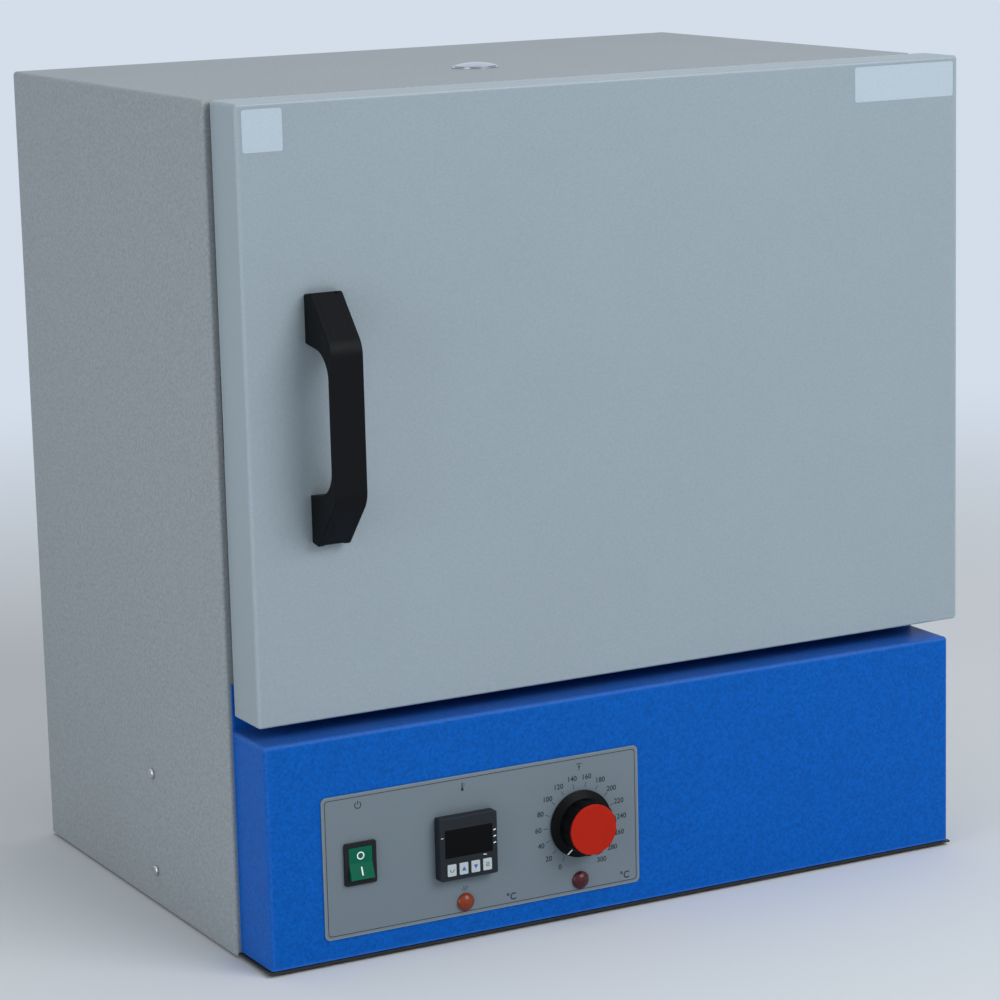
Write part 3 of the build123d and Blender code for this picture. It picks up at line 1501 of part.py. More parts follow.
# Catch: a magnet on the cabinet's left flange and a steel strike on the door
catch_left_x = left_x + catch_inset
catch_right_x = left_x + flange_width - fit_gap
with BuildPart() as catch_magnet:
    slab(
        (catch_left_x, front_y - catch_thickness, handle_z - catch_height / 2),
        (catch_right_x, front_y, handle_z + catch_height / 2),
    )
    chamfer(catch_magnet.edges().filter_by(Axis.X).group_by(Axis.Y)[0], catch_thickness / 3)
catch_magnet.part.label = "catch_magnet"
export_step(catch_magnet.part, "parts/catch_magnet.step")

with BuildPart() as catch_strike:
    strike_thickness = door_gap - catch_thickness - fit_gap
    slab(
        (catch_left_x, door_back_y, handle_z - catch_height / 2),
        (catch_right_x, door_back_y + strike_thickness, handle_z + catch_height / 2),
    )
catch_strike.part.label = "catch_strike"
export_step(catch_strike.part, "parts/catch_strike.step")
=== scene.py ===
"""Finishes, printed marks and a plain studio for a bench-top laboratory incubator."""
import math

import bmesh
import bpy
from mathutils import Matrix, Vector


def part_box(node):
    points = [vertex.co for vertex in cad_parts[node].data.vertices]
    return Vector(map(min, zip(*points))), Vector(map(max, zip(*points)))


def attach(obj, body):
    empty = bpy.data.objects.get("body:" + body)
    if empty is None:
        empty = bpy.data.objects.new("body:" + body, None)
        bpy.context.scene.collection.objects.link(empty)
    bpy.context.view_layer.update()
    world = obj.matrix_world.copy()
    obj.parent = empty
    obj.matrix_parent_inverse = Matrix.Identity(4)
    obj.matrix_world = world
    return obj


bl_info = {
    "name": "Laboratory Incubator",
    "version": (1, 0, 0),
    "blender": (4, 5, 0),
    "location": "View3D > Sidebar > Incubator",
    "description": "Dresses the packed incubator with its finishes, marks and studio",
    "category": "Object",
}

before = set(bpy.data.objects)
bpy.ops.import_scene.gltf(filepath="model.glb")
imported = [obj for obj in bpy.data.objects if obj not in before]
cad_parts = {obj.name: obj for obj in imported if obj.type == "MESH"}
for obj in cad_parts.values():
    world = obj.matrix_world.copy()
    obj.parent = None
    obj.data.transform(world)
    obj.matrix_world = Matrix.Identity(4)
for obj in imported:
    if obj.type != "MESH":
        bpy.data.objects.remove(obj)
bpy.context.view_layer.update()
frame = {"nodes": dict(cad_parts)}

MM = 0.001
INK_THICKNESS = 0.06 * MM

plate_low, plate_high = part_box("control_plate")
bezel_low, bezel_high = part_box("controller_bezel")
window_low, window_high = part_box("controller_window")
knob_low, knob_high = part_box("knob")
switch_low, switch_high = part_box("switch_body")
door_low, door_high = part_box("door_skin")

knob_x = (knob_low.x + knob_high.x) / 2
knob_z = (knob_low.z + knob_high.z) / 2
switch_x = (switch_low.x + switch_high.x) / 2
switch_z = (switch_low.z + switch_high.z) / 2
controller_x = (bezel_low.x + bezel_high.x) / 2
plate_y = plate_low.y


# Settings that a user would change


def tint(name, description, default):
    """A colour property, as it is seen on screen."""
    return bpy.props.FloatVectorProperty(
        name=name,
        description=description,
        default=default,
        size=3,
        min=0.0,
        max=1.0,
        subtype="COLOR_GAMMA",
    )


def length(name, description, millimetres):
    """A length property, given in millimetres and kept in metres."""
    return bpy.props.FloatProperty(
        name=name,
        description=description,
        default=millimetres * MM,
        min=0.0,
        unit="LENGTH",
        precision=5,
    )


class IncubatorColours(bpy.types.PropertyGroup):
    """Colours of the finishes"""

    casing: tint("Casing", "Powder coat of the casing and rear panel", (0.585, 0.615, 0.635))
    door: tint("Door", "Powder coat of the door", (0.585, 0.64, 0.675))
    frame: tint("Frame", "Paint of the frame round the chamber's mouth", (0.60, 0.62, 0.63))
    cover: tint("Front cover", "Blue powder coat of the front cover", (0.008, 0.345, 0.70))
    plate: tint("Control plate", "Satin face of the control plate", (0.45, 0.50, 0.535))
    ink: tint("Print", "Dark print on the control plate", (0.09, 0.10, 0.13))
    white_ink: tint("White print", "White marks on dark parts", (0.88, 0.90, 0.90))
    blue_ink: tint("Blue print", "Blue marks on the keys", (0.14, 0.30, 0.62))
    handle: tint("Handle", "Moulded plastic of the handle", (0.045, 0.05, 0.06))
    knob: tint("Knob", "Moulded plastic of the knob", (0.03, 0.033, 0.037))
    controller: tint("Controller", "Moulded plastic of the controller", (0.12, 0.14, 0.165))
    cap: tint("Knob cap", "Red cap of the safety knob", (0.70, 0.13, 0.06))
    rocker: tint("Rocker", "Green plastic of the mains rocker", (0.01, 0.375, 0.28))
    amber: tint("Amber lens", "Lens of the heating lamp", (0.45, 0.16, 0.03))
    dark_red: tint("Dark red lens", "Lens of the over-temperature lamp", (0.24, 0.03, 0.055))
    keys: tint("Keys", "Caps of the controller keys", (0.72, 0.76, 0.78))
    steel: tint("Chamber steel", "Brushed steel of the chamber", (0.74, 0.75, 0.76))
    zinc: tint("Zinc", "Zinc plate of screws, deck and hinges", (0.76, 0.77, 0.77))
    chrome: tint("Chrome", "Bright plate of the shelves and vent", (0.80, 0.81, 0.83))
    element: tint("Element", "Heat-tinted sheath of the heating element", (0.42, 0.37, 0.33))
    wool: tint("Insulation", "Mineral wool", (0.72, 0.66, 0.44))
    gasket: tint("Gasket", "Silicone of the door gasket", (0.56, 0.57, 0.57))
    # Painted shade: the base tray is given a near-black coat so that it reads as the shaded band under the
    # front cover.
    tray: tint("Base tray", "Dark paint of the base tray", (0.13, 0.13, 0.14))
    rubber: tint("Feet", "Rubber of the feet", (0.07, 0.07, 0.075))
    window: tint("Window", "Dark window of the controller", (0.012, 0.012, 0.016))
    fitting: tint("Fittings", "Plastic of the switch body, lamps and gland", (0.10, 0.10, 0.11))
    magnet: tint("Magnet", "Magnet strip of the door catch", (0.14, 0.14, 0.15))
    relay: tint("Relay", "Plastic of the relay and terminal block", (0.80, 0.80, 0.76))
    label: tint("Label", "Blank label on the door", (0.67, 0.725, 0.77))
    floor: tint("Floor", "Pale studio floor", (0.86, 0.88, 0.90))
    backdrop: tint("Backdrop", "Pale studio background", (0.83, 0.87, 0.92))


class IncubatorMarks(bpy.types.PropertyGroup):
    """Sizes of the printed marks"""

    dial_radius: length("Dial numbers", "Radius of the ring of numbers round the knob", 36.2)
    dial_digit: length("Digit height", "Height of the numbers round the knob", 4.1)
    tick_inner: length("Tick start", "Inner radius of the dial's ticks", 27.8)
    tick_outer: length("Tick end", "Outer radius of the dial's ticks", 31.6)
    tick_width: length("Tick width", "Width of the dial's ticks", 0.5)
    border_inset: length("Border inset", "Distance of the border line from the plate's edge", 2.4)
    border_width: length("Border width", "Width of the border line", 0.55)
    plate_corner: length("Plate corner", "Corner radius of the control plate", 4.0)
    unit_height: length("Unit height", "Height of the degree marks", 5.6)
    symbol_height: length("Symbol height", "Height of the pictograms", 6.5)


class IncubatorStage(bpy.types.PropertyGroup):
    """Camera and studio light"""

    lens: bpy.props.FloatProperty(
        name="Focal length",
        description="Focal length of the camera",
        default=122.96,
        min=1.0,
        unit="CAMERA",
    )
    key_power: bpy.props.FloatProperty(
        name="Key light",
        description="Power of the large softbox above the front",
        default=43.0,
        min=0.0,
        unit="POWER",
    )
    side_power: bpy.props.FloatProperty(
        name="Side light",
        description="Power of the softbox on the left",
        default=15.0,
        min=0.0,
        unit="POWER",
    )
    top_power: bpy.props.FloatProperty(
        name="Top light",
        description="Power of the softbox over the cabinet",
        default=10.5,
        min=0.0,
        unit="POWER",
    )
    sky: bpy.props.FloatProperty(
        name="Room light",
        description="Strength of the even light from all round",
        default=0.43,
        min=0.0,
    )


def linear(colour):
    """The scene-linear colour, with alpha, of one given as it is seen on screen."""
    channels = [
        c / 12.92 if c <= 0.04045 else ((c + 0.055) / 1.055) ** 2.4 for c in tuple(colour)[:3]
    ]
    return (*channels, 1.0)


# Node helpers and the shared effects


def add(tree, kind, **settings):
    """A new node with these settings."""
    made = tree.nodes.new(kind)
    for name, value in settings.items():
        setattr(made, name, value)
    return made


def feed(tree, value, socket):
    """Links a socket to an input, or sets the input to a plain value."""
    if isinstance(value, bpy.types.NodeSocket):
        tree.links.new(value, socket)
    else:
        socket.default_value = value


def calculate(tree, operation, first, second=0.0, clamp=False):
    """The result of one Math node."""
    made = add(tree, "ShaderNodeMath", operation=operation, use_clamp=clamp)
    feed(tree, first, made.inputs[0])
    feed(tree, second, made.inputs[1])
    return made.outputs[0]


def blend_colours(tree, factor, first, second, mode="MIX"):
    """The result of one colour Mix node."""
    made = add(tree, "ShaderNodeMix", data_type="RGBA", blend_type=mode)
    feed(tree, factor, made.inputs["Factor"])
    feed(tree, first, made.inputs[6])
    feed(tree, second, made.inputs[7])
    return made.outputs[2]


def noise(tree, scale, detail=2.0, roughness=0.5, stretch=None):
    """A noise value laid over the object's own coordinates, in metres."""
    place = add(tree, "ShaderNodeTexCoord").outputs["Object"]
    if stretch is not None:
        scaled = add(tree, "ShaderNodeVectorMath", operation="MULTIPLY")
        feed(tree, place, scaled.inputs[0])
        feed(tree, stretch, scaled.inputs[1])
        place = scaled.outputs[0]
    made = add(tree, "ShaderNodeTexNoise")
    feed(tree, place, made.inputs["Vector"])
    feed(tree, scale, made.inputs["Scale"])
    made.inputs["Detail"].default_value = detail
    made.inputs["Roughness"].default_value = roughness
    return made.outputs["Fac"]


def effect_group(name, inputs, outputs):
    """An empty node group with these sockets: (its tree, its input sockets, its output node)."""
    tree = bpy.data.node_groups.new(name, "ShaderNodeTree")
    for label, kind, default in inputs:
        socket = tree.interface.new_socket(label, in_out="INPUT", socket_type=kind)
        socket.default_value = default
    for label, kind in outputs:
        tree.interface.new_socket(label, in_out="OUTPUT", socket_type=kind)
    given = tree.nodes.new("NodeGroupInput").outputs
    return tree, given, tree.nodes.new("NodeGroupOutput")


def powder_coat_group():
    """Fine orange peel with slightly uneven tone."""
    tree, given, result = effect_group(
        "Powder Coat",
        [
            ("Colour", "NodeSocketColor", (0.5, 0.5, 0.5, 1.0)),
            ("Speckle", "NodeSocketFloat", 0.12),
            ("Mottle", "NodeSocketFloat", 0.05),
            ("Grain Scale", "NodeSocketFloat", 900.0),
        ],
        [("Colour", "NodeSocketColor"), ("Height", "NodeSocketFloat"), ("Mask", "NodeSocketFloat")],
    )
    fine = noise(tree, given["Grain Scale"], 2.0, 0.6)
    broad = noise(tree, 9.0, 3.0, 0.5)
    speckle = calculate(tree, "MULTIPLY", calculate(tree, "SUBTRACT", fine, 0.5), given["Speckle"])
    mottle = calculate(tree, "MULTIPLY", calculate(tree, "SUBTRACT", broad, 0.5), given["Mottle"])
    tone = calculate(tree, "ADD", calculate(tree, "ADD", speckle, mottle), 1.0)
    toned = add(tree, "ShaderNodeVectorMath", operation="SCALE")
    feed(tree, given["Colour"], toned.inputs[0])
    feed(tree, tone, toned.inputs["Scale"])
    feed(tree, toned.outputs[0], result.inputs["Colour"])
    feed(tree, fine, result.inputs["Height"])
    feed(tree, broad, result.inputs["Mask"])
    return tree


def worn_edge_group():
    """A mask of the outer edges and corners, broken up by noise, for rubbed edges and painted highlights."""
    tree, given, result = effect_group(
        "Worn Edges",
        [("Width", "NodeSocketFloat", 0.0012), ("Amount", "NodeSocketFloat", 0.5)],
        [("Mask", "NodeSocketFloat")],
    )
    rounded = add(tree, "ShaderNodeBevel", samples=4)
    feed(tree, given["Width"], rounded.inputs["Radius"])
    compared = add(tree, "ShaderNodeVectorMath", operation="DOT_PRODUCT")
    feed(tree, rounded.outputs[0], compared.inputs[0])
    feed(tree, add(tree, "ShaderNodeNewGeometry").outputs["Normal"], compared.inputs[1])
    turned = calculate(tree, "SUBTRACT", 1.0, compared.outputs["Value"])
    edge = calculate(tree, "MULTIPLY", turned, 5.0, clamp=True)
    broken = calculate(tree, "ADD", calculate(tree, "MULTIPLY", noise(tree, 160.0), 0.9), 0.35)
    worn = calculate(tree, "MULTIPLY", edge, broken, clamp=True)
    feed(tree, calculate(tree, "MULTIPLY", worn, given["Amount"]), result.inputs["Mask"])
    return tree


def crevice_group():
    """A mask of creases and gaps, for the painted shade that darkens them."""
    tree, given, result = effect_group(
        "Crevice Shade",
        [("Reach", "NodeSocketFloat", 0.006), ("Amount", "NodeSocketFloat", 0.4)],
        [("Mask", "NodeSocketFloat")],
    )
    near = add(tree, "ShaderNodeAmbientOcclusion", samples=6)
    feed(tree, given["Reach"], near.inputs["Distance"])
    hidden = calculate(tree, "SUBTRACT", 1.0, near.outputs["AO"], clamp=True)
    feed(tree, calculate(tree, "MULTIPLY", hidden, given["Amount"]), result.inputs["Mask"])
    return tree


def brushed_group():
    """Long fine scratches along one direction."""
    tree, given, result = effect_group(
        "Brushed Grain",
        [
            ("Colour", "NodeSocketColor", (0.7, 0.7, 0.7, 1.0)),
            ("Across", "NodeSocketVector", (1.0, 1.0, 1.0)),
            ("Contrast", "NodeSocketFloat", 0.2),
        ],
        [("Colour", "NodeSocketColor"), ("Height", "NodeSocketFloat"), ("Mask", "NodeSocketFloat")],
    )
    lines = noise(tree, 1.0, 3.0, 0.6, stretch=given["Across"])
    broad = noise(tree, 14.0, 2.0, 0.5)
    shade = calculate(
        tree, "MULTIPLY", calculate(tree, "SUBTRACT", lines, 0.5), given["Contrast"]
    )
    tone = calculate(tree, "ADD", shade, 1.0)
    toned = add(tree, "ShaderNodeVectorMath", operation="SCALE")
    feed(tree, given["Colour"], toned.inputs[0])
    feed(tree, tone, toned.inputs["Scale"])
    feed(tree, toned.outputs[0], result.inputs["Colour"])
    feed(tree, lines, result.inputs["Height"])
    feed(tree, broad, result.inputs["Mask"])
    return tree


def moulded_group():
    """The fine pebbled skin of moulded plastic."""
    tree, given, result = effect_group(
        "Moulded Skin",
        [
            ("Colour", "NodeSocketColor", (0.1, 0.1, 0.1, 1.0)),
            ("Pebble Scale", "NodeSocketFloat", 1400.0),
            ("Variation", "NodeSocketFloat", 0.25),
        ],
        [("Colour", "NodeSocketColor"), ("Height", "NodeSocketFloat"), ("Mask", "NodeSocketFloat")],
    )
    pebble = add(tree, "ShaderNodeTexVoronoi", feature="F1")
    feed(tree, add(tree, "ShaderNodeTexCoord").outputs["Object"], pebble.inputs["Vector"])
    feed(tree, given["Pebble Scale"], pebble.inputs["Scale"])
    broad = noise(tree, 40.0, 3.0, 0.55)
    shade = calculate(tree, "MULTIPLY", calculate(tree, "SUBTRACT", broad, 0.5), given["Variation"])
    tone = calculate(tree, "ADD", shade, 1.0)
    toned = add(tree, "ShaderNodeVectorMath", operation="SCALE")
    feed(tree, given["Colour"], toned.inputs[0])
    feed(tree, tone, toned.inputs["Scale"])
    feed(tree, toned.outputs[0], result.inputs["Colour"])
    feed(tree, pebble.outputs["Distance"], result.inputs["Height"])
    feed(tree, broad, result.inputs["Mask"])
    return tree


def dust_group():
    """A mask of thin dust on surfaces that face up."""
    tree, given, result = effect_group(
        "Settled Dust",
        [("Amount", "NodeSocketFloat", 0.15)],
        [("Mask", "NodeSocketFloat")],
    )
    parts = add(tree, "ShaderNodeSeparateXYZ")
    feed(tree, add(tree, "ShaderNodeNewGeometry").outputs["Normal"], parts.inputs[0])
    up = calculate(tree, "MAXIMUM", parts.outputs["Z"], 0.0)
    patches = calculate(tree, "MULTIPLY", up, noise(tree, 22.0, 4.0, 0.6))
    feed(tree, calculate(tree, "MULTIPLY", patches, given["Amount"]), result.inputs["Mask"])
    return tree


EFFECTS = {
    "coat": powder_coat_group,
    "rubbed_edges_and_highlights": worn_edge_group,
    "crevice": crevice_group,
    "brushed": brushed_group,
    "moulded": moulded_group,
    "dust": dust_group,
}
effect_trees = {}


def place_effect(tree, effect, **values):
    """One shared effect in a material, with its own values: its output sockets."""
    if effect not in effect_trees:
        effect_trees[effect] = EFFECTS[effect]()
    made = add(tree, "ShaderNodeGroup", node_tree=effect_trees[effect])
    for label, value in values.items():
        feed(tree, value, made.inputs[label.replace("_", " ")])
    return made.outputs


def new_material(name):
    """An empty node material: (the material, its tree, its Principled node)."""
    material = bpy.data.materials.new(name)
    material.use_nodes = True
    tree = material.node_tree
    tree.nodes.clear()
    shader = add(tree, "ShaderNodeBsdfPrincipled")
    tree.links.new(shader.outputs[0], add(tree, "ShaderNodeOutputMaterial").inputs["Surface"])
    return material, tree, shader


def bump(tree, shader, height, depth, strength=1.0):
    """Raises the surface by a height of this depth in metres."""
    made = add(tree, "ShaderNodeBump")
    made.inputs["Strength"].default_value = strength
    made.inputs["Distance"].default_value = depth
    feed(tree, height, made.inputs["Height"])
    feed(tree, made.outputs[0], shader.inputs["Normal"])


def spread(tree, mask, low, high):
    """A mask turned into a value that runs from low to high."""
    return calculate(tree, "ADD", calculate(tree, "MULTIPLY", mask, high - low), low)


def painted(
    name, colour, speckle=0.16, grain=600.0, roughness=0.42, worn=0.35, gloss=0.3, edge_width=0.0016
):
    """Powder-coated sheet steel."""
    material, tree, shader = new_material(name)
    coat = place_effect(tree, "coat", Colour=linear(colour), Speckle=speckle, Grain_Scale=grain)
    edge = place_effect(tree, "rubbed_edges_and_highlights", Width=edge_width, Amount=worn)
    shade = place_effect(tree, "crevice", Reach=0.007, Amount=0.35)
    dust = place_effect(tree, "dust", Amount=0.12)
    # Painted highlight, partly real rubbing: the edge mask blends the rounded edges toward this paler colour.
    pale = tuple(min(1.0, c * 1.5 + 0.05) for c in linear(colour)[:3])
    lit = blend_colours(tree, edge["Mask"], coat["Colour"], (*pale, 1.0))
    # Painted shade: the crevice mask blends creases and gaps toward this darker copy of the colour.
    dark = tuple(c * 0.35 for c in linear(colour)[:3])
    shaded = blend_colours(tree, shade["Mask"], lit, (*dark, 1.0))
    dusty = blend_colours(tree, dust["Mask"], shaded, (0.42, 0.41, 0.39, 1.0))
    feed(tree, dusty, shader.inputs["Base Color"])
    feed(tree, spread(tree, coat["Mask"], roughness - 0.05, roughness + 0.08), shader.inputs["Roughness"])
    bump(tree, shader, coat["Height"], 0.00012, 0.7)
    shader.inputs["Specular IOR Level"].default_value = gloss
    return material


def moulded(name, colour, roughness=0.5, pebble=1400.0, depth=0.00004, coat=0.0, gloss=0.2):
    """Moulded plastic with a fine skin."""
    material, tree, shader = new_material(name)
    skin = place_effect(tree, "moulded", Colour=linear(colour), Pebble_Scale=pebble)
    edge = place_effect(tree, "rubbed_edges_and_highlights", Width=0.0009, Amount=0.3)
    shade = place_effect(tree, "crevice", Reach=0.004, Amount=0.4)
    # Painted highlight, partly real rubbing: the edge mask blends the rounded edges toward this paler colour.
    pale = tuple(min(1.0, c * 1.7 + 0.015) for c in linear(colour)[:3])
    lit = blend_colours(tree, edge["Mask"], skin["Colour"], (*pale, 1.0))
    # Painted shade: the crevice mask blends creases and gaps toward this darker copy of the colour.
    dark = tuple(c * 0.3 for c in linear(colour)[:3])
    shaded = blend_colours(tree, shade["Mask"], lit, (*dark, 1.0))
    feed(tree, shaded, shader.inputs["Base Color"])
    feed(tree, spread(tree, skin["Mask"], roughness - 0.08, roughness + 0.1), shader.inputs["Roughness"])
    bump(tree, shader, skin["Height"], depth, 0.5)
    shader.inputs["Specular IOR Level"].default_value = gloss
    shader.inputs["Coat Weight"].default_value = coat
    shader.inputs["Coat Roughness"].default_value = 0.12
    return material


def metal(name, colour, roughness=0.3, across=(20.0, 20.0, 1800.0), contrast=0.25, depth=0.00002):
    """Bare or plated metal with a drawn or brushed grain."""
    material, tree, shader = new_material(name)
    grain = place_effect(tree, "brushed", Colour=linear(colour), Across=across, Contrast=contrast)
    edge = place_effect(tree, "rubbed_edges_and_highlights", Width=0.0006, Amount=0.3)
    shade = place_effect(tree, "crevice", Reach=0.004, Amount=0.45)
    # Painted highlight, partly real rubbing: the edge mask blends the rounded edges toward this paler colour.
    pale = tuple(min(1.0, c * 1.25) for c in linear(colour)[:3])
    lit = blend_colours(tree, edge["Mask"], grain["Colour"], (*pale, 1.0))
    # Painted shade: the crevice mask blends creases and gaps toward this darker copy of the colour.
    dark = tuple(c * 0.25 for c in linear(colour)[:3])
    feed(tree, blend_colours(tree, shade["Mask"], lit, (*dark, 1.0)), shader.inputs["Base Color"])
    feed(tree, spread(tree, grain["Mask"], roughness - 0.06, roughness + 0.1), shader.inputs["Roughness"])
    bump(tree, shader, grain["Height"], depth, 0.4)
    shader.inputs["Metallic"].default_value = 1.0
    return material


def lens_plastic(name, colour):
    """Clear coloured plastic with fine moulded rings; its pale core and deeper edge are painted light and
    shade that follow the view.
    """
    material, tree, shader = new_material(name)
    facets = add(tree, "ShaderNodeTexVoronoi", feature="F1")
    feed(tree, add(tree, "ShaderNodeTexCoord").outputs["Object"], facets.inputs["Vector"])
    facets.inputs["Scale"].default_value = 620.0
    deep = tuple(c * 0.45 for c in linear(colour)[:3])
    pale = tuple(min(1.0, c * 1.6 + 0.01) for c in linear(colour)[:3])
    # Painted light and shade: paler where the lens faces the viewer, deeper where it turns away.
    facing = add(tree, "ShaderNodeLayerWeight")
    facing.inputs["Blend"].default_value = 0.35
    facing_light_and_shade = blend_colours(tree, facing.outputs["Facing"], (*pale, 1.0), (*deep, 1.0))
    mixed = blend_colours(tree, facets.outputs["Distance"], facing_light_and_shade, linear(colour))
    feed(tree, mixed, shader.inputs["Base Color"])
    bump(tree, shader, facets.outputs["Distance"], 0.00006, 0.4)
    shader.inputs["Roughness"].default_value = 0.28
    shader.inputs["Specular IOR Level"].default_value = 0.2
    shader.inputs["Coat Weight"].default_value = 0.25
    shader.inputs["Coat Roughness"].default_value = 0.05
    return material


def fibrous(name, colour):
    """Mineral wool."""
    material, tree, shader = new_material(name)
    strands = noise(tree, 1.0, 4.0, 0.7, stretch=(900.0, 240.0, 500.0))
    clumps = noise(tree, 60.0, 3.0, 0.6)
    deep = tuple(c * 0.55 for c in linear(colour)[:3])
    mixed = blend_colours(tree, strands, (*deep, 1.0), linear(colour))
    pale = tuple(min(1.0, c * 1.25) for c in linear(colour)[:3])
    feed(tree, blend_colours(tree, clumps, mixed, (*pale, 1.0)), shader.inputs["Base Color"])
    shader.inputs["Roughness"].default_value = 0.95
    shader.inputs["Sheen Weight"].default_value = 0.3
    bump(tree, shader, strands, 0.0006, 0.8)
    return material


def printed(name, colour, roughness=0.45):
    """Screen-printed ink, a little uneven."""
    material, tree, shader = new_material(name)
    body = noise(tree, 700.0, 3.0, 0.6)
    pale = tuple(min(1.0, c * 1.25 + 0.01) for c in linear(colour)[:3])
    feed(tree, blend_colours(tree, body, linear(colour), (*pale, 1.0)), shader.inputs["Base Color"])
    feed(tree, spread(tree, body, roughness - 0.08, roughness + 0.08), shader.inputs["Roughness"])
    bump(tree, shader, body, 0.00001, 0.4)
    return material


finishes = {}


def finish(name):
    """A finish by name, made once from the colours in the sidebar."""
    if name not in finishes:
        make, colour, settings = FINISH_RECIPES[name]
        colours = bpy.context.scene.incubator_colours
        finishes[name] = make(name, getattr(colours, colour), **settings)
    return finishes[name]


FINISH_RECIPES = {
    "casing_coat": (painted, "casing", dict(speckle=0.7, grain=430.0, roughness=0.5, worn=0.9)),
    # The wider edge band on the door and the front cover paints brighter highlights along their rounded
    # edges.
    "door_coat": (
        painted,
        "door",
        dict(speckle=0.22, roughness=0.32, worn=1.0, gloss=0.45, edge_width=0.003),
    ),
    "frame_coat": (painted, "frame", dict(speckle=0.12)),
    "cover_coat": (
        painted,
        "cover",
        dict(speckle=0.9, grain=430.0, roughness=0.38, worn=0.9, gloss=0.1, edge_width=0.003),
    ),
    # Painted shade and highlight: a near-black coat for the shaded band under the cover, and a strong edge
    # mask for the light line along the tray's edge.
    "tray_coat": (painted, "tray", dict(speckle=0.2, worn=0.9, gloss=0.2)),
    "plate_face": (
        painted,
        "plate",
        dict(speckle=0.12, grain=1200.0, roughness=0.4, worn=0.9, gloss=0.2),
    ),
    "handle_plastic": (moulded, "handle", dict(roughness=0.48, depth=0.00006, gloss=0.1)),
    "knob_plastic": (moulded, "knob", dict(roughness=0.45, gloss=0.08)),
    "controller_plastic": (moulded, "controller", dict(roughness=0.42)),
    "cap_plastic": (moulded, "cap", dict(roughness=0.4, pebble=2200.0, depth=0.00001, gloss=0.1)),
    "rocker_plastic": (
        moulded,
        "rocker",
        dict(roughness=0.25, pebble=300.0, depth=0.00002, coat=0.1, gloss=0.08),
    ),
    "key_plastic": (moulded, "keys", dict(roughness=0.45, depth=0.00001)),
    "window_plastic": (
        moulded,
        "window",
        dict(roughness=0.1, depth=0.000004, coat=0.12, gloss=0.05),
    ),
    "fitting_plastic": (moulded, "fitting", dict(roughness=0.45)),
    "relay_plastic": (moulded, "relay", dict(roughness=0.4)),
    "magnet_rubber": (moulded, "magnet", dict(roughness=0.7)),
    "foot_rubber": (moulded, "rubber", dict(roughness=0.75)),
    "gasket_silicone": (moulded, "gasket", dict(roughness=0.6, pebble=600.0)),
    "amber_lens": (lens_plastic, "amber", {}),
    "dark_red_lens": (lens_plastic, "dark_red", {}),
    "chamber_steel": (metal, "steel", dict(roughness=0.34, across=(12.0, 12.0, 1500.0))),
    "tray_zinc": (metal, "zinc", dict(roughness=0.42, across=(60.0,) * 3, contrast=0.3)),
    "screw_zinc": (metal, "zinc", dict(roughness=0.25, across=(300.0,) * 3)),
    "hinge_steel": (metal, "zinc", dict(roughness=0.32, across=(40.0, 40.0, 900.0))),
    "bright_chrome": (metal, "chrome", dict(roughness=0.12, across=(50.0,) * 3, contrast=0.08)),
    "probe_steel": (metal, "steel", dict(roughness=0.24, across=(900.0, 30.0, 900.0))),
    "element_sheath": (metal, "element", dict(roughness=0.5, across=(90.0,) * 3, contrast=0.6)),
    "cast_metal": (metal, "steel", dict(roughness=0.5, across=(400.0,) * 3, contrast=0.3)),
    "mineral_wool": (fibrous, "wool", {}),
    "dark_print": (printed, "ink", {}),
    "white_print": (printed, "white_ink", {}),
    "blue_print": (printed, "blue_ink", {}),
    "label_film": (printed, "label", dict(roughness=0.3)),
}

NODE_FINISHES = {
    "casing_coat": ("outer_casing", "rear_panel"),
    "door_coat": ("door_skin",),
    "frame_coat": ("front_frame",),
    "cover_coat": ("front_cover",),
    "plate_face": ("control_plate",),
    "handle_plastic": ("handle", "handle_covers"),
    "knob_plastic": ("knob",),
    "controller_plastic": ("controller_bezel", "controller_case", "controller_clamp"),
    "cap_plastic": ("knob_cap",),
    "rocker_plastic": ("switch_rocker",),
    "key_plastic": ("key_1", "key_2", "key_3", "key_4"),
    "window_plastic": ("controller_window",),
    "fitting_plastic": ("switch_body", "lamp_bodies", "cable_gland", "gland_nut"),
    "relay_plastic": ("relay", "terminal_block"),
    "magnet_rubber": ("catch_magnet",),
    "foot_rubber": ("feet",),
    "gasket_silicone": ("door_gasket",),
    "amber_lens": ("heat_lamp_lens",),
    "dark_red_lens": ("overtemp_lamp_lens",),
    "chamber_steel": ("chamber_liner", "element_cover", "door_inner_panel"),
    "tray_coat": ("base_tray",),
    "tray_zinc": ("control_deck",),
    "screw_zinc": (
        "side_screws",
        "rear_screws",
        "cover_screws",
        "handle_screws",
        "hinge_frame_screws",
        "hinge_door_screws",
        "catch_strike",
    ),
    "hinge_steel": ("hinge_frame_leaves", "hinge_door_leaves", "hinge_pins"),
    "bright_chrome": (
        "vent_tube",
        "vent_cap",
        "shelf_ladder_left",
        "shelf_ladder_right",
        "lower_shelf",
        "upper_shelf",
    ),
    "probe_steel": ("control_probe", "safety_probe", "thermostat_shaft"),
    "element_sheath": ("heating_element",),
    "cast_metal": ("thermostat_body",),
    "mineral_wool": ("chamber_insulation", "door_insulation"),
}


def dress(finish_name):
    """Gives every node of this finish its material and smooth shading up to its edges."""
    for node in NODE_FINISHES[finish_name]:
        piece = frame["nodes"][node]
        piece.data.materials.clear()
        piece.data.materials.append(finish(finish_name))
        piece.data.shade_smooth()
        piece.data.set_sharp_from_angle(angle=SHARP_EDGE_ANGLE)


SHARP_EDGE_ANGLE = math.radians(32)


# Flat marks: closed outlines and words, turned into thin solid meshes


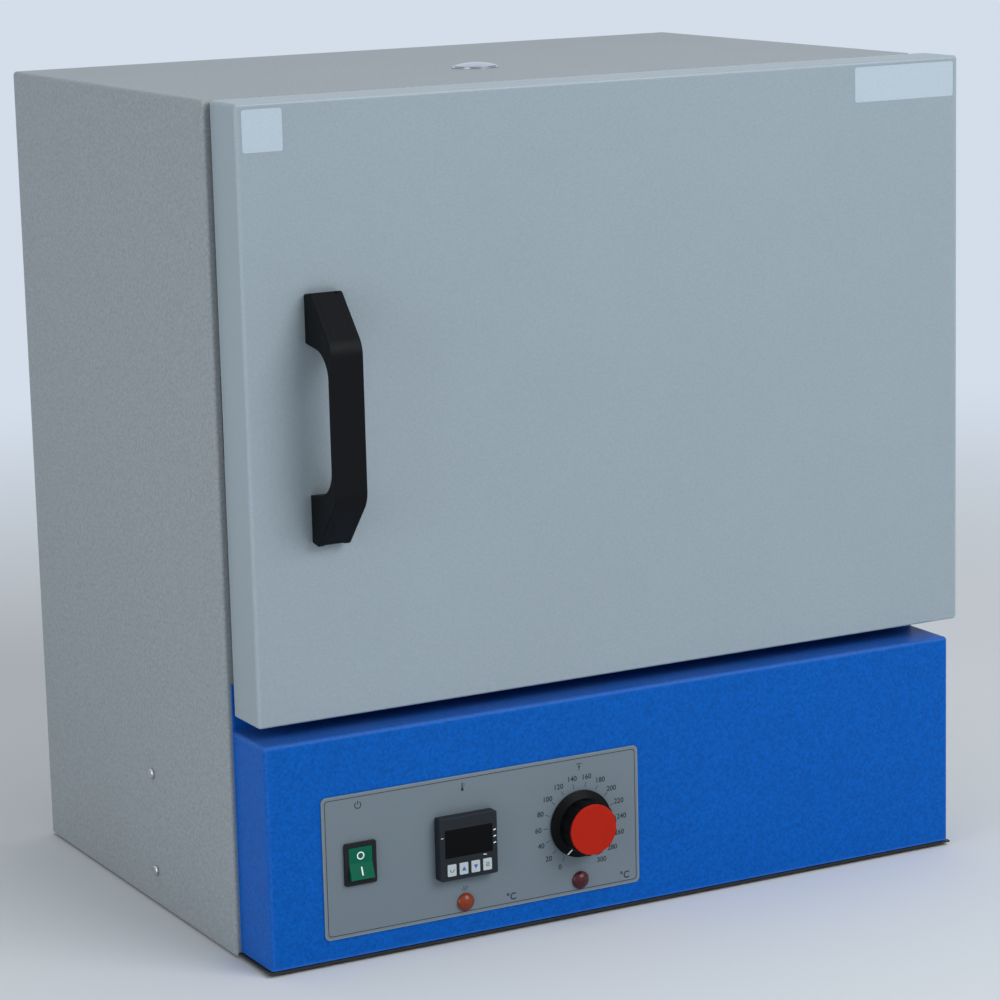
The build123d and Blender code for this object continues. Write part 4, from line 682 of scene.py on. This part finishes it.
def circle_points(centre, radius, steps=40, start=0.0, end=360.0):
    """Points round a circle or along an arc, angles in degrees."""
    closed = abs(end - start) >= 360.0
    count = steps if closed else steps + 1
    turns = [math.radians(start + (end - start) * i / steps) for i in range(count)]
    return [(centre[0] + radius * math.cos(t), centre[1] + radius * math.sin(t)) for t in turns]


def arc_band(centre, radius, width, start, end, steps=32):
    """The outline of a bent line of this width along an arc."""
    outer = circle_points(centre, radius + width / 2, steps, start, end)
    inner = circle_points(centre, radius - width / 2, steps, start, end)
    return outer + inner[::-1]


def bar(centre, size, angle=0.0):
    """The outline of a straight bar, turned by angle in degrees."""
    c, s = math.cos(math.radians(angle)), math.sin(math.radians(angle))
    corners = [(-0.5, -0.5), (0.5, -0.5), (0.5, 0.5), (-0.5, 0.5)]
    return [
        (
            centre[0] + x * size[0] * c - z * size[1] * s,
            centre[1] + x * size[0] * s + z * size[1] * c,
        )
        for x, z in corners
    ]


def rounded_box(centre, size, radius, steps=8):
    """The outline of a rectangle with round corners."""
    points = []
    for across, up, start in ((1, 1, 0), (-1, 1, 90), (-1, -1, 180), (1, -1, 270)):
        corner = (
            centre[0] + across * (size[0] / 2 - radius),
            centre[1] + up * (size[1] / 2 - radius),
        )
        points += circle_points(corner, radius, steps, start, start + 90)
    return points


def outline_mesh(loops, thickness):
    """A thin solid between closed outlines; an outline inside another is a hole."""
    curve = bpy.data.curves.new("outline", "CURVE")
    curve.dimensions = "2D"
    curve.fill_mode = "BOTH"
    curve.extrude = thickness / 2
    for loop in loops:
        spline = curve.splines.new("POLY")
        spline.points.add(len(loop) - 1)
        for point, (x, y) in zip(spline.points, loop):
            point.co = (x, y, 0.0, 1.0)
        spline.use_cyclic_u = True
    return solid_from(curve)


def word_mesh(text, height, centre, thickness):
    """A word or number as a thin solid, its capitals of this height, about this centre."""
    curve = bpy.data.curves.new("word", "FONT")
    curve.body = text
    curve.size = height / CAPITAL_SHARE
    curve.align_x = "CENTER"
    curve.extrude = thickness / 2
    curve.offset = height * INK_SPREAD
    curve.resolution_u = 3
    mesh = solid_from(curve)
    mesh.transform(Matrix.Translation((centre[0], centre[1] - height / 2, 0.0)))
    return mesh


CAPITAL_SHARE = 0.729
INK_SPREAD = 0.03


def solid_from(curve):
    """The closed mesh of a curve's shape."""
    holder = bpy.data.objects.new("outline", curve)
    bpy.context.scene.collection.objects.link(holder)
    bpy.context.view_layer.update()
    mesh = bpy.data.meshes.new_from_object(holder.evaluated_get(bpy.context.evaluated_depsgraph_get()))
    bpy.data.objects.remove(holder)
    bpy.data.curves.remove(curve)
    shape = bmesh.new()
    shape.from_mesh(mesh)
    bmesh.ops.remove_doubles(shape, verts=shape.verts, dist=1e-7)
    bmesh.ops.recalc_face_normals(shape, faces=shape.faces)
    shape.to_mesh(mesh)
    shape.free()
    return mesh


def front_plane(y, x=0.0, z=0.0, tilt=0.0):
    """Places flat work, drawn with x right and y up, on a plane that faces the user."""
    stand = Matrix.Translation((x, y, z)) @ Matrix.Rotation(tilt, 4, "X")
    return stand @ Matrix.Rotation(math.radians(90), 4, "X")


def piece_from(name, meshes, place, body, finish_name):
    """One piece from several flat meshes, set on a plane and carried by a body."""
    shape = bmesh.new()
    for mesh in meshes:
        shape.from_mesh(mesh)
        bpy.data.meshes.remove(mesh)
    mesh = bpy.data.meshes.new(name)
    shape.to_mesh(mesh)
    shape.free()
    mesh.transform(place)
    mesh.materials.append(finish(finish_name))
    piece = bpy.data.objects.new(name, mesh)
    bpy.context.scene.collection.objects.link(piece)
    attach(piece, body)
    return piece


# Operators: one for each group of like pieces, and one for the stage


class DressPaintedSteel(bpy.types.Operator):
    """Powder coat on the casing, door, frame, front cover and control plate"""

    bl_idname = "incubator.dress_painted_steel"
    bl_label = "Painted Steel"

    def execute(self, context):
        for name in ("casing_coat", "door_coat", "frame_coat", "cover_coat", "tray_coat", "plate_face"):
            dress(name)
        return {"FINISHED"}


class DressPlastics(bpy.types.Operator):
    """Moulded plastic and rubber on the handle, controls, lamps, gasket and feet"""

    bl_idname = "incubator.dress_plastics"
    bl_label = "Plastics and Rubber"

    def execute(self, context):
        for name in (
            "handle_plastic",
            "knob_plastic",
            "controller_plastic",
            "cap_plastic",
            "rocker_plastic",
            "key_plastic",
            "window_plastic",
            "fitting_plastic",
            "relay_plastic",
            "magnet_rubber",
            "foot_rubber",
            "gasket_silicone",
            "amber_lens",
            "dark_red_lens",
        ):
            dress(name)
        return {"FINISHED"}


class DressMetals(bpy.types.Operator):
    """Bare and plated metal, and the insulation"""

    bl_idname = "incubator.dress_metals"
    bl_label = "Metals and Insulation"

    def execute(self, context):
        for name in (
            "chamber_steel",
            "tray_zinc",
            "screw_zinc",
            "hinge_steel",
            "bright_chrome",
            "probe_steel",
            "element_sheath",
            "cast_metal",
            "mineral_wool",
        ):
            dress(name)
        return {"FINISHED"}


class PrintPlateBorder(bpy.types.Operator):
    """The dark line round the control plate"""

    bl_idname = "incubator.print_plate_border"
    bl_label = "Plate Border"

    def execute(self, context):
        marks = context.scene.incubator_marks
        middle = ((plate_low.x + plate_high.x) / 2, (plate_low.z + plate_high.z) / 2)
        size = (plate_high.x - plate_low.x, plate_high.z - plate_low.z)
        loops = []
        for inset in (marks.border_inset, marks.border_inset + marks.border_width):
            inner = (size[0] - 2 * inset, size[1] - 2 * inset)
            loops.append(rounded_box(middle, inner, marks.plate_corner - inset / 2))
        piece_from(
            "plate_border",
            [outline_mesh(loops, INK_THICKNESS)],
            front_plane(plate_y),
            "cabinet",
            "dark_print",
        )
        return {"FINISHED"}


class PrintDial(bpy.types.Operator):
    """The numbers and ticks round the safety knob"""

    bl_idname = "incubator.print_dial"
    bl_label = "Dial"

    def execute(self, context):
        marks = context.scene.incubator_marks
        meshes = []
        for value in range(0, DIAL_TOP + 1, DIAL_STEP):
            turn = math.radians(DIAL_ZERO_ANGLE - value)
            across, up = math.cos(turn), math.sin(turn)
            spot = (knob_x + marks.dial_radius * across, knob_z + marks.dial_radius * up)
            meshes.append(word_mesh(str(value), marks.dial_digit, spot, INK_THICKNESS))
            reach = (marks.tick_inner + marks.tick_outer) / 2
            tick = bar(
                (knob_x + reach * across, knob_z + reach * up),
                (marks.tick_outer - marks.tick_inner, marks.tick_width),
                math.degrees(turn),
            )
            meshes.append(outline_mesh([tick], INK_THICKNESS))
        piece_from(
            "dial_scale", meshes, front_plane(plate_y), "cabinet", "dark_print"
        )
        return {"FINISHED"}


DIAL_TOP = 300
DIAL_STEP = 20
DIAL_ZERO_ANGLE = 240.0


class PrintPlateSymbols(bpy.types.Operator):
    """The degree marks and the pictograms over the controls"""

    bl_idname = "incubator.print_plate_symbols"
    bl_label = "Plate Symbols"

    def execute(self, context):
        marks = context.scene.incubator_marks
        meshes = []
        lamps = [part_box(node) for node in ("heat_lamp_lens", "overtemp_lamp_lens")]
        for low, high in lamps:
            lamp_x = (low.x + high.x) / 2
            spot = (lamp_x + 39.0 * MM, plate_low.z + 7.6 * MM)
            meshes.append(word_mesh("°C", marks.unit_height, spot, INK_THICKNESS))
        top = plate_high.z - 9.0 * MM
        meshes += power_symbol((switch_x, top), marks.symbol_height)
        meshes += thermometer_symbol((controller_x, top), marks.symbol_height)
        meshes += limit_symbol((knob_x, plate_high.z - 9.5 * MM), marks.symbol_height)
        lamp_top = lamps[0][1].z + 3.6 * MM
        lamp_x = (lamps[0][0].x + lamps[0][1].x) / 2
        meshes += heat_symbol((lamp_x, lamp_top), marks.symbol_height * 0.6)
        piece_from(
            "plate_symbols", meshes, front_plane(plate_y), "cabinet", "dark_print"
        )
        return {"FINISHED"}


def power_symbol(centre, height):
    """A broken ring with an upright bar."""
    line = height * 0.12
    ring = arc_band(centre, height * 0.38, line, 125, 415)
    upright = bar((centre[0], centre[1] + height * 0.28), (line, height * 0.46))
    return [outline_mesh([ring], INK_THICKNESS), outline_mesh([upright], INK_THICKNESS)]


def thermometer_symbol(centre, height):
    """An upright tube with a bulb."""
    bulb = (centre[0], centre[1] - height * 0.32)
    stem = rounded_box((centre[0], centre[1] + height * 0.1), (height * 0.2, height * 0.8), height * 0.09)
    hollow = rounded_box((centre[0], centre[1] + height * 0.24), (height * 0.07, height * 0.4), height * 0.03)
    levels = [
        bar((centre[0] + height * 0.24, centre[1] + height * up), (height * 0.16, height * 0.06))
        for up in (0.05, 0.2, 0.35)
    ]
    return [
        outline_mesh([stem, hollow], INK_THICKNESS),
        outline_mesh([circle_points(bulb, height * 0.18, 24)], INK_THICKNESS),
    ] + [outline_mesh([level], INK_THICKNESS) for level in levels]


def limit_symbol(centre, height):
    """A bar with an arrow that points up to it."""
    line = height * 0.1
    top = bar((centre[0], centre[1] + height * 0.4), (height * 0.7, line))
    head = [
        (centre[0] - height * 0.2, centre[1] - height * 0.02),
        (centre[0] + height * 0.2, centre[1] - height * 0.02),
        (centre[0], centre[1] + height * 0.28),
    ]
    shaft = bar((centre[0], centre[1] - height * 0.2), (line, height * 0.4))
    return [outline_mesh([loop], INK_THICKNESS) for loop in (top, head, shaft)]


def heat_symbol(centre, height):
    """Three rising waves."""
    meshes = []
    radius, line = height * 0.25, height * 0.11
    for offset in (-0.4, 0.0, 0.4):
        x = centre[0] + offset * height
        low_centre = (x + height * 0.12, centre[1] - height * 0.22)
        high_centre = (x - height * 0.12, centre[1] + height * 0.22)
        low = arc_band(low_centre, radius, line, 118, 242, 12)
        high = arc_band(high_centre, radius, line, -62, 62, 12)
        meshes += [outline_mesh([low], INK_THICKNESS), outline_mesh([high], INK_THICKNESS)]
    return meshes


class MarkKnob(bpy.types.Operator):
    """The white pointer line on the knob's skirt"""

    bl_idname = "incubator.mark_knob"
    bl_label = "Knob Pointer"

    def execute(self, context):
        slope = math.atan2(POINTER_DROP, POINTER_OUTER - POINTER_INNER)
        run = math.hypot(POINTER_DROP, POINTER_OUTER - POINTER_INNER)
        line = outline_mesh([bar((0.0, 0.0), (run, POINTER_WIDTH))], INK_THICKNESS)
        line.transform(Matrix.Rotation(slope, 4, "Y"))
        reach = (POINTER_INNER + POINTER_OUTER) / 2
        line.transform(Matrix.Translation((reach, 0.0, POINTER_STAND)))
        line.transform(Matrix.Rotation(math.radians(DIAL_ZERO_ANGLE), 4, "Z"))
        skirt_y = knob_high.y - SKIRT_EDGE
        piece_from(
            "knob_pointer",
            [line],
            front_plane(skirt_y, knob_x, knob_z),
            "safety_knob",
            "white_print",
        )
        return {"FINISHED"}


POINTER_INNER = 20.8 * MM
POINTER_OUTER = 25.6 * MM
POINTER_DROP = 2.84 * MM
POINTER_STAND = 1.74 * MM
POINTER_WIDTH = 1.1 * MM
SKIRT_EDGE = 1.4 * MM


class MarkRocker(bpy.types.Operator):
    """The off ring and the on bar of the mains rocker"""

    bl_idname = "incubator.mark_rocker"
    bl_label = "Rocker Marks"

    def execute(self, context):
        pivot_z = (switch_low.z + switch_high.z) / 2
        upper_y = plate_y - ROCKER_UPPER_STAND - INK_THICKNESS
        ring = [
            circle_points((0.0, 0.0), 3.0 * MM, 40),
            circle_points((0.0, 0.0), 2.1 * MM, 40),
        ]
        piece_from(
            "rocker_off_ring",
            [outline_mesh(ring, INK_THICKNESS)],
            front_plane(upper_y, switch_x, pivot_z + 6.0 * MM),
            "rocker",
            "white_print",
        )
        lower_y = plate_y - ROCKER_LOWER_MIDDLE - INK_THICKNESS
        lower_tilt = -math.atan2(ROCKER_LOWER_STAND - ROCKER_UPPER_STAND, ROCKER_LOWER_RUN)
        piece_from(
            "rocker_on_bar",
            [outline_mesh([bar((0.0, 0.0), (1.1 * MM, 6.4 * MM))], INK_THICKNESS)],
            front_plane(lower_y, switch_x, pivot_z - ROCKER_LOWER_DROP, lower_tilt),
            "rocker",
            "white_print",
        )
        return {"FINISHED"}


ROCKER_UPPER_STAND = 1.963 * MM
ROCKER_LOWER_STAND = 6.06 * MM
ROCKER_LOWER_RUN = 11.28 * MM
ROCKER_LOWER_MIDDLE = 4.01 * MM
ROCKER_LOWER_DROP = 5.29 * MM


class MarkController(bpy.types.Operator):
    """The symbols on the controller's keys and the small marks round its window"""

    bl_idname = "incubator.mark_controller"
    bl_label = "Controller Marks"

    def execute(self, context):
        symbols = {
            "key_1": ("dark_print", [arc_band((0.0, 0.3 * MM), 1.5 * MM, 0.5 * MM, 150, 390)]),
            "key_2": ("blue_print", [triangle(1)]),
            "key_3": ("blue_print", [triangle(-1)]),
            "key_4": ("dark_print", [bar((0.0, up * MM), (3.2 * MM, 0.5 * MM)) for up in (-1.2, 0.0, 1.2)]),
        }
        for key, (finish_name, loops) in symbols.items():
            low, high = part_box(key)
            piece_from(
                f"{key}_symbol",
                [outline_mesh([loop], INK_THICKNESS) for loop in loops],
                front_plane(low.y, (low.x + high.x) / 2, (low.z + high.z) / 2),
                key.replace("key", "controller_key"),
                finish_name,
            )
        right = window_high.x + 1.9 * MM
        middle = (window_low.z + window_high.z) / 2
        loops = [bar((right, middle + up * MM), (2.2 * MM, 0.8 * MM), 12) for up in (-4.5, 0.5, 5.5)]
        loops.append(bar((window_low.x - 2.3 * MM, middle + 5.4 * MM), (1.8 * MM, 0.5 * MM)))
        loops.append(bar((window_high.x - 6.5 * MM, window_low.z - 1.6 * MM), (2.6 * MM, 0.6 * MM), -8))
        piece_from(
            "controller_marks",
            [outline_mesh([loop], INK_THICKNESS) for loop in loops],
            front_plane(bezel_low.y),
            "cabinet",
            "white_print",
        )
        return {"FINISHED"}


def triangle(up):
    """The outline of an arrow head that points up or down."""
    return [(-1.8 * MM, -1.5 * MM * up), (1.8 * MM, -1.5 * MM * up), (0.0, 1.7 * MM * up)]


class StickLabels(bpy.types.Operator):
    """The two blank labels on the door"""

    bl_idname = "incubator.stick_labels"
    bl_label = "Door Labels"

    def execute(self, context):
        for name, (x, z, width, height) in DOOR_LABELS.items():
            outline = rounded_box((x, z), (width, height), 2.0 * MM)
            piece_from(
                name,
                [outline_mesh([outline], 3 * INK_THICKNESS)],
                front_plane(door_low.y - INK_THICKNESS),
                "door",
                "label_film",
            )
        return {"FINISHED"}


DOOR_LABELS = {
    "label_left": (-0.2774, 0.6127, 0.0310, 0.0302),
    "label_right": (0.2645, 0.6148, 0.0910, 0.0268),
}


class SetStage(bpy.types.Operator):
    """The pale floor, the soft light and the camera"""

    bl_idname = "incubator.set_stage"
    bl_label = "Stage"

    def execute(self, context):
        stage = context.scene.incubator_stage
        lay_floor(context)
        light_room(context, stage)
        middle = Vector((0.0, -0.05, 0.32))
        softbox("key_softbox", (0.9, -2.3, 1.9), middle, (1.9, 1.4), stage.key_power)
        softbox("side_softbox", (-2.4, -0.7, 0.6), middle, (1.5, 1.5), stage.side_power)
        softbox("top_softbox", (0.2, 0.2, 2.6), middle, (1.8, 1.8), stage.top_power)
        place_camera(context, stage)
        return {"FINISHED"}


def seen_directly(tree):
    """1 for the camera, mirrors and glass, 0 for the light that falls on the object."""
    path = add(tree, "ShaderNodeLightPath").outputs
    glossy = calculate(tree, "MAXIMUM", path["Is Camera Ray"], path["Is Glossy Ray"])
    return calculate(tree, "MAXIMUM", glossy, path["Is Transmission Ray"])


def lay_floor(context):
    """A wide pale floor that fades into the background away from the object."""
    colours = context.scene.incubator_colours
    mesh = bpy.data.meshes.new("studio_floor")
    shape = bmesh.new()
    bmesh.ops.create_circle(shape, cap_ends=True, segments=96, radius=FLOOR_RADIUS)
    shape.to_mesh(mesh)
    shape.free()
    floor = bpy.data.objects.new("studio_floor", mesh)
    context.scene.collection.objects.link(floor)
    material = bpy.data.materials.new("studio_floor")
    material.use_nodes = True
    tree = material.node_tree
    tree.nodes.clear()
    matt = add(tree, "ShaderNodeBsdfDiffuse")
    matt.inputs["Color"].default_value = linear(colours.floor)
    flat = add(tree, "ShaderNodeEmission")
    flat.inputs["Color"].default_value = linear(colours.backdrop)
    reach = add(tree, "ShaderNodeVectorMath", operation="LENGTH")
    feed(tree, add(tree, "ShaderNodeTexCoord").outputs["Object"], reach.inputs[0])
    fade = add(tree, "ShaderNodeMapRange", interpolation_type="SMOOTHSTEP")
    feed(tree, reach.outputs["Value"], fade.inputs["Value"])
    fade.inputs["From Min"].default_value = 0.7
    fade.inputs["From Max"].default_value = 2.4
    mixed = add(tree, "ShaderNodeMixShader")
    feed(tree, calculate(tree, "MULTIPLY", fade.outputs["Result"], seen_directly(tree)), mixed.inputs[0])
    tree.links.new(matt.outputs[0], mixed.inputs[1])
    tree.links.new(flat.outputs[0], mixed.inputs[2])
    tree.links.new(mixed.outputs[0], add(tree, "ShaderNodeOutputMaterial").inputs["Surface"])
    mesh.materials.append(material)


FLOOR_RADIUS = 12.0


def light_room(context, stage):
    """Even light from all round, with the pale background where it is seen directly."""
    colours = context.scene.incubator_colours
    world = bpy.data.worlds.new("studio")
    world.use_nodes = True
    tree = world.node_tree
    tree.nodes.clear()
    room = add(tree, "ShaderNodeBackground")
    room.inputs["Color"].default_value = (0.95, 0.98, 1.0, 1.0)
    room.inputs["Strength"].default_value = stage.sky
    shown = add(tree, "ShaderNodeBackground")
    shown.inputs["Color"].default_value = linear(colours.backdrop)
    mixed = add(tree, "ShaderNodeMixShader")
    feed(tree, seen_directly(tree), mixed.inputs[0])
    tree.links.new(room.outputs[0], mixed.inputs[1])
    tree.links.new(shown.outputs[0], mixed.inputs[2])
    tree.links.new(mixed.outputs[0], add(tree, "ShaderNodeOutputWorld").inputs["Surface"])
    context.scene.world = world


def softbox(name, place, target, size, power):
    """A rectangular area light that faces the target."""
    light = bpy.data.lights.new(name, "AREA")
    light.shape = "RECTANGLE"
    light.size, light.size_y = size
    light.energy = power
    lamp = bpy.data.objects.new(name, light)
    lamp.location = place
    lamp.rotation_euler = (target - Vector(place)).to_track_quat("-Z", "Y").to_euler()
    bpy.context.scene.collection.objects.link(lamp)


def place_camera(context, stage):
    """The camera where the photograph was taken from."""
    camera = bpy.data.objects.new("camera", bpy.data.cameras.new("camera"))
    camera.data.lens = stage.lens
    camera.data.clip_end = 100.0
    turn = Matrix((CAMERA_RIGHT, CAMERA_UP, CAMERA_BACK)).transposed()
    camera.matrix_world = Matrix.Translation(CAMERA_PLACE) @ turn.to_4x4()
    context.scene.collection.objects.link(camera)
    context.scene.camera = camera
    context.scene.view_settings.view_transform = "Standard"


CAMERA_PLACE = (-1.2595, -2.3799, 0.8260)
CAMERA_RIGHT = (0.87922, -0.47576, -0.02478)
CAMERA_UP = (0.1154, 0.16222, 0.97998)
CAMERA_BACK = (-0.46222, -0.86448, 0.19754)


OPERATORS = (
    DressPaintedSteel,
    DressPlastics,
    DressMetals,
    PrintPlateBorder,
    PrintDial,
    PrintPlateSymbols,
    MarkKnob,
    MarkRocker,
    MarkController,
    StickLabels,
    SetStage,
)


class IncubatorPanel(bpy.types.Panel):
    """The incubator's steps, in order"""

    bl_idname = "VIEW3D_PT_incubator"
    bl_label = "Laboratory Incubator"
    bl_space_type = "VIEW_3D"
    bl_region_type = "UI"
    bl_category = "Incubator"

    def draw(self, context):
        column = self.layout.column()
        for operator in OPERATORS:
            column.operator(operator.bl_idname)
        for group in ("incubator_colours", "incubator_marks", "incubator_stage"):
            settings = getattr(context.scene, group)
            for name in settings.__annotations__:
                column.prop(settings, name)


GROUPS = {
    "incubator_colours": IncubatorColours,
    "incubator_marks": IncubatorMarks,
    "incubator_stage": IncubatorStage,
}


def register():
    """Registers the settings, the steps and the panel."""
    for name, group in GROUPS.items():
        bpy.utils.register_class(group)
        setattr(bpy.types.Scene, name, bpy.props.PointerProperty(type=group))
    for operator in OPERATORS:
        bpy.utils.register_class(operator)
    bpy.utils.register_class(IncubatorPanel)


def unregister():
    """Takes away what register added."""
    bpy.utils.unregister_class(IncubatorPanel)
    for operator in reversed(OPERATORS):
        bpy.utils.unregister_class(operator)
    for name, group in GROUPS.items():
        delattr(bpy.types.Scene, name)
        bpy.utils.unregister_class(group)


def main():
    """Runs every step in order."""
    register()
    for operator in OPERATORS:
        family, step = operator.bl_idname.split(".")
        getattr(getattr(bpy.ops, family), step)()


if __name__ == "__main__":
    main()
